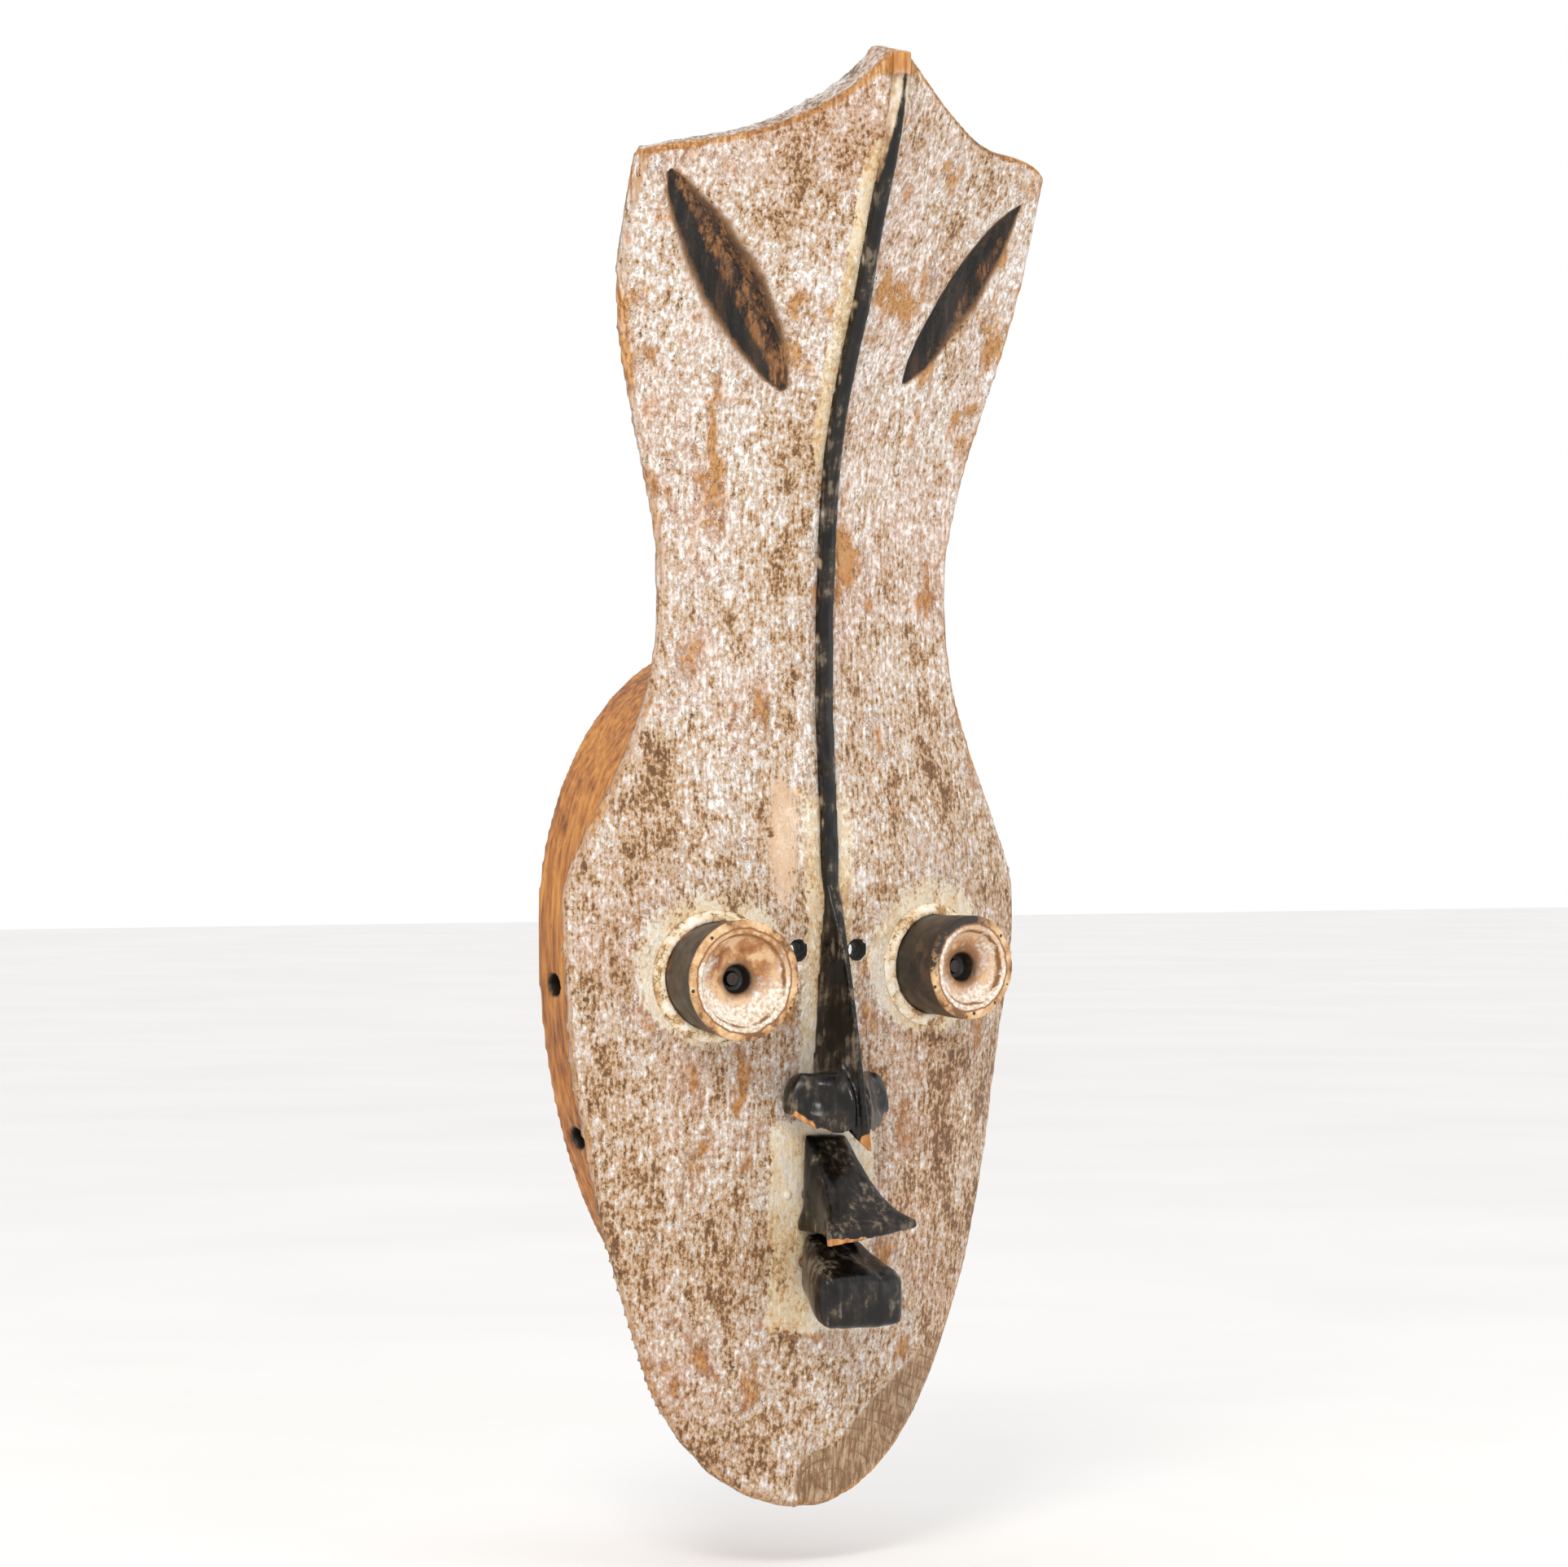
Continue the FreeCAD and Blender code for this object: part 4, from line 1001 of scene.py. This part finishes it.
carve_black("carved_nose", "nose", BLACK_SKIN, 4, shape=nose_leaves, worn=nose_wear)

# %% [markdown]
# The lips
#
# The upper lip flares into a thin ledge whose front is rubbed to raw wood; its sides and top
# are smooth. The lower lip is a block worn round by hands, so it is eased far more.

# %% Lip rules
LEDGE_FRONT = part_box("upper_lip")[0][1] / MM
LEDGE_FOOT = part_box("upper_lip")[0][2] / MM
MOUTH_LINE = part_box("lower_lip")[1][2] / MM


def ledge_wear(points, normals):
    """Bare wood all along the thin front of the upper lip."""
    front = step(LEDGE_FRONT + 4.0, LEDGE_FRONT + 1.5, points[:, 1])
    upper = LEDGE_FOOT + 4.6 + 0.9 * noise(points, 6.0, 28, 2)
    return 1.2 * front * step(-0.1, -0.5, normals[:, 1]) * step(upper + 0.5, upper, points[:, 2])


def above_ledge(points):
    """The sides and top of the upper lip are rubbed round; its thin ledge stays crisp."""
    return step(LEDGE_FOOT + 8.0, LEDGE_FOOT + 20.0, points[:, 2])


def closed_mouth(points):
    """Raises the root of the lower lip to meet the upper one."""
    x, y, z = points.T
    root = step(-122.0, -106.0, y) * step(MOUTH_LINE - 9.0, MOUTH_LINE - 1.0, z)
    return np.stack([x, y, z + 3.4 * root], axis=1)


carve_black("carved_upper_lip", "upper_lip", BLACK_SKIN, 14, worn=ledge_wear,
            soft=above_ledge)
carve_black("carved_lower_lip", "lower_lip", BLACK_SKIN, 240, shape=closed_mouth, facets=0.5)

# %% [markdown]
# The eyes
#
# Each eye is a turned tube with a flaring, blackened side, a rim of bare orange wood, and
# a dish whitened with clay that has gone rusty above the pupil. The pupil hole's walls and
# lip are painted near black as painted shade. Every one of those places is a distance from
# the eye's axis or behind its rim, so these two distances are stored on the points, and the
# material blends its layers at ragged radii.


# %% Eye finish
# Turned hardwood with soot on its side, a rim rubbed bare, and clay in the dish: matt to
# half gloss. The worm holes in the rim are a millimetre or so across, one every 5 mm.
EYE_GRAINS = [
    ("broad", 11.111, 1.0, 5.0, 0.65, 0.0),
    ("fine", 1.7857, 1.0, 3.0, 0.5, 0.0),
]
WORM_SPACING = 4.762


def eye_finish(dish, pupil):
    """The finish of an eye; dish and pupil are the radii of its hollow and hole, in mm."""
    material, tree, shader, read = finish("clay and soot on a turned eye", EYE_GRAINS,
                                          ("from_axis", "from_rim", "sooty", "above"))
    cells = add(tree, "ShaderNodeTexVoronoi", {"Vector": read["place"],
                                               "Scale": 1 / (WORM_SPACING * MM)})
    read["cell"] = cells.outputs["Distance"]
    build(tree, read, [("bored", {"cell": 1.0}, 0.24, 0.16),
                       ("dry", {"broad": 1.0}, 0.47, 0.53)])
    read["worm_hole"] = add(tree, "ShaderNodeMath", {0: read["bored"], 1: read["dry"]},
                            operation="MULTIPLY").outputs["Value"]
    build(tree, read, [
        ("colour", {"broad": 1.0}, (0.41, "#75502A"), (0.46, "#B48455"), (0.54, "#D5AA79"),
         (0.62, "#E8C79E")),
        ("colour", "colour", "#3A2614", "worm_hole"),
        ("soot", {"broad": 2.4, "sooty": 1.0}, 1.75, 1.95),
        ("colour", "colour", "#2A2119", "soot"),
        ("side", {"broad": 1.0}, (0.36, "#211B15"), (0.5, "#332A21"), (0.62, "#574231")),
        ("behind", {"broad": 5.0, "from_rim": 1.0}, 3.6, 4.6),
        ("colour", "colour", "side", "behind"),
        ("clay", {"fine": 1.0}, (0.35, "#C9AE90"), (0.48, "#E4D3BF"), (0.6, "#F5EDE3")),
        ("rust", {"broad": 1.0}, (0.40, "#8A5326"), (0.5, "#B37C4A"), (0.60, "#DDB78E")),
        ("rusty", {"broad": 2.2, "above": 1.0}, 1.15, 1.55),
        ("clay", "clay", "rust", "rusty"),
        ("damp", {"broad": 1.0}, 0.46, 0.54),
        ("groove", "clay", "#8A6038", "damp"),
    ])
    # Rings from the rim inwards: how far outside a radius each begins and is whole. The last,
    # near black, is painted shade over the pupil hole's walls and lip.
    for coat, radius, outer, inner in (
            ("#86592F", dish, 5.6, 4.9), ("clay", dish, 4.6, 3.9), ("groove", dish, 2.6, 2.0),
            ("clay", dish, 1.4, 0.7), ("#7A5430", pupil, 6.0, 2.6),
            ("#241E19", pupil, 2.8, 1.4)):
        build(tree, read, [
            ("ring", {"broad": 4.0, "from_axis": 1.0}, radius + outer, radius + inner),
            ("colour", "colour", coat, "ring"),
        ])
    build(tree, read, [("height", {"fine": 0.5, "broad": 1.0}), ("gloss", {"broad": 1.0})])
    wear_the_finish(tree, shader, read, 0.6, 0.5, (0.0, 1.0, 0.3, 0.62))
    return material


# %% Carve the eyes
EYE_SKIN = 0.8
RIM_WIDTH = 6.8
PUPIL_RADIUS = 7.2


def carve_eye(side, front_radius, rust_lift, soot_angle=None):
    """An eye with an uneven wall; soot_angle is where its rim is blackened."""
    name = "left_eye" if side < 0 else "right_eye"
    piece = solid_copy("turned_" + name, [name + "_tube"], EYE_SKIN)
    mesh = piece.data
    points = eased(mesh, points_of(mesh), 3)
    middle, aim = EYES[side]
    offset = points - middle
    behind = -(offset @ aim)
    outward = offset + behind[:, None] * aim
    radius = np.linalg.norm(outward, axis=1)
    turn = np.arctan2(outward[:, 2], outward[:, 0])
    wobble = 0.5 * noise(points, 13.0, 31, 2) * step(4.0, 9.0, radius)
    points = points + outward / np.maximum(radius, 0.1)[:, None] * wobble[:, None]
    points = points - aim * (0.5 * step(0.1, 0.8, noise(points, 8.0, 32)))[:, None]
    move_to(mesh, points)
    dish = front_radius - RIM_WIDTH
    inner = step(1.0, 0.45, radius / dish)
    rusty = outward[:, 2] / front_radius * rust_lift + 0.55 * inner
    sooty = -1.0 + 0 * turn
    if soot_angle is not None:
        sooty = np.cos(turn - soot_angle)
    store(mesh, from_axis=radius, from_rim=behind, above=rusty, sooty=sooty)
    settle(piece, eye_finish(dish, PUPIL_RADIUS), "eye_wood", name + "_tube")


carve_eye(-1, 29.4, 1.0)
carve_eye(1, 25.6, 0.3, math.radians(120.0))

# %% [markdown]
# Paste round the eyes
#
# Clay and resin paste was pressed by the fingertip into the corner between each eye and
# the board, and has cracked as it dried. The band itself is a skinned copy of the solid.
# The crumbs that broke off along its outer edge are scattered by the same geometry nodes
# as the blisters, with a mask that keeps them to that edge.


# %% Dried paste
# Clay in plant resin: a matt cream, yellower where the resin is thick, with shrinkage cracks
# about 4 mm apart.
PASTE_GRAINS = [("mottle", 7.6923, 1.0, 6.0, 0.7, 0.0)]
CRACK_SPACING = 3.8462


def dried_paste():
    material, tree, shader, read = finish("dried clay and resin paste", PASTE_GRAINS)
    cells = add(tree, "ShaderNodeTexVoronoi",
                {"Vector": read["place"], "Scale": 1 / (CRACK_SPACING * MM)},
                feature="DISTANCE_TO_EDGE")
    read["cell"] = cells.outputs["Distance"]
    build(tree, read, [("crack", {"cell": 1.0}, 0.05, 0.01),
                       ("dry", {"mottle": 1.0}, 0.52, 0.47)])
    read["cracked"] = add(tree, "ShaderNodeMath", {0: read["crack"], 1: read["dry"]},
                          operation="MULTIPLY").outputs["Value"]
    build(tree, read, [
        ("colour", {"mottle": 1.0}, (0.40, "#B98E5D"), (0.47, "#E3C79C"),
         (0.54, "#F1DFC2"), (0.62, "#FBF3E6")),
        ("colour", "colour", "#8A6640", "cracked"),
        ("height", {"cracked": -0.7, "mottle": 1.0}),
        ("gloss", {"mottle": 1.0}),
    ])
    wear_the_finish(tree, shader, read, 0.6, 0.6, (0.0, 1.0, 0.64, 0.68))
    return material


paste = dried_paste()
crumb_tree = grain_tree("paste crumbs", "crumb", paste)
print("material", paste.name)


# %% Press the paste round both eyes
PASTE_SKIN = 0.7


def press_paste(side):
    """The band of paste, thinned to a feather edge with dents."""
    name = "left_eye_paste" if side < 0 else "right_eye_paste"
    piece = solid_copy("pressed_" + name, [name], PASTE_SKIN)
    mesh = piece.data
    points = points_of(mesh)
    middle, aim = EYES[side]
    offset = points - middle
    outward = offset - (offset @ aim)[:, None] * aim
    radius = np.linalg.norm(outward, axis=1)
    inner, outer = np.percentile(radius, (2, 98))
    sink = step(inner + 0.3 * (outer - inner), outer + 0.5, radius)
    depth = 2.4 * sink + 0.5 * noise(points, 6.0, 41, 2)
    points[:, 1] += np.clip(depth, 0.0, 2.8) * step(0.2, -0.5, normals_of(mesh)[:, 1])
    points = eased(mesh, points, 4)
    move_to(mesh, points)
    store(mesh, crumb=step(inner + 1.0, outer, radius) * step(0.0, -0.4, normals_of(mesh)[:, 1]))
    crumbs = scatter(name + "_crumbs", piece, crumb_tree, 26000.0, 0.9, 0.6)
    settle(crumbs, paste, "filler_paste")
    settle(piece, paste, "filler_paste", name)


press_paste(-1)
press_paste(1)

# %% [markdown]
# Pegs and hanger
#
# The pegs are whittled from darker wood. Most are buried; one shows at the bottom of each
# pupil, and that one is painted near black as the shade in the hole. The hanger is a folded
# steel strap with a wire ring, zinc plated and dulled.

# %% Finishes for the small parts
# Zinc plate on steel: a grey metal, dulled to a soft cloudy sheen about a millimetre in scale.
def zinc():
    material, tree, shader, read = finish("dulled zinc plate on steel",
                                          [("cloud", 1.1111, 1.0, 4.0, 0.5, 0.0)])
    build(tree, read, [("colour", {"cloud": 1.0}, (0.35, "#8C8A84"), (0.6, "#B9B6AE")),
                       ("height", {"cloud": 1.0}), ("gloss", {"cloud": 1.0})])
    wear_the_finish(tree, shader, read, 0.3, 0.1, (0.0, 1.0, 0.3, 0.55))
    shader.inputs["Metallic"].default_value = 1.0
    return material


peg_wood = bare_wood("whittled hardwood peg", "#4E321B", "#8A5E36", "#B98A58", 0.55)
# Painted shade: the peg at the bottom of each pupil is near black, standing in for the shade in
# the hole.
pupil_shade_peg = bare_wood("hardwood peg painted dark as pupil shade", "#150F0A", "#2A1F15", "#4A3826", 0.4)
plate = zinc()
for material, nodes in (
        (peg_wood, ("ridge_pegs", "nose_pegs", "lip_pegs", "collar_pegs")),
        (pupil_shade_peg, ("eye_pegs",)),
        (plate, ("hanger_strap", "hanger_ring", "hanger_screws"))):
    for node in nodes:
        frame["nodes"][node].data.materials.clear()
        frame["nodes"][node].data.materials.append(material)
    print(material.name, "on", ", ".join(nodes))
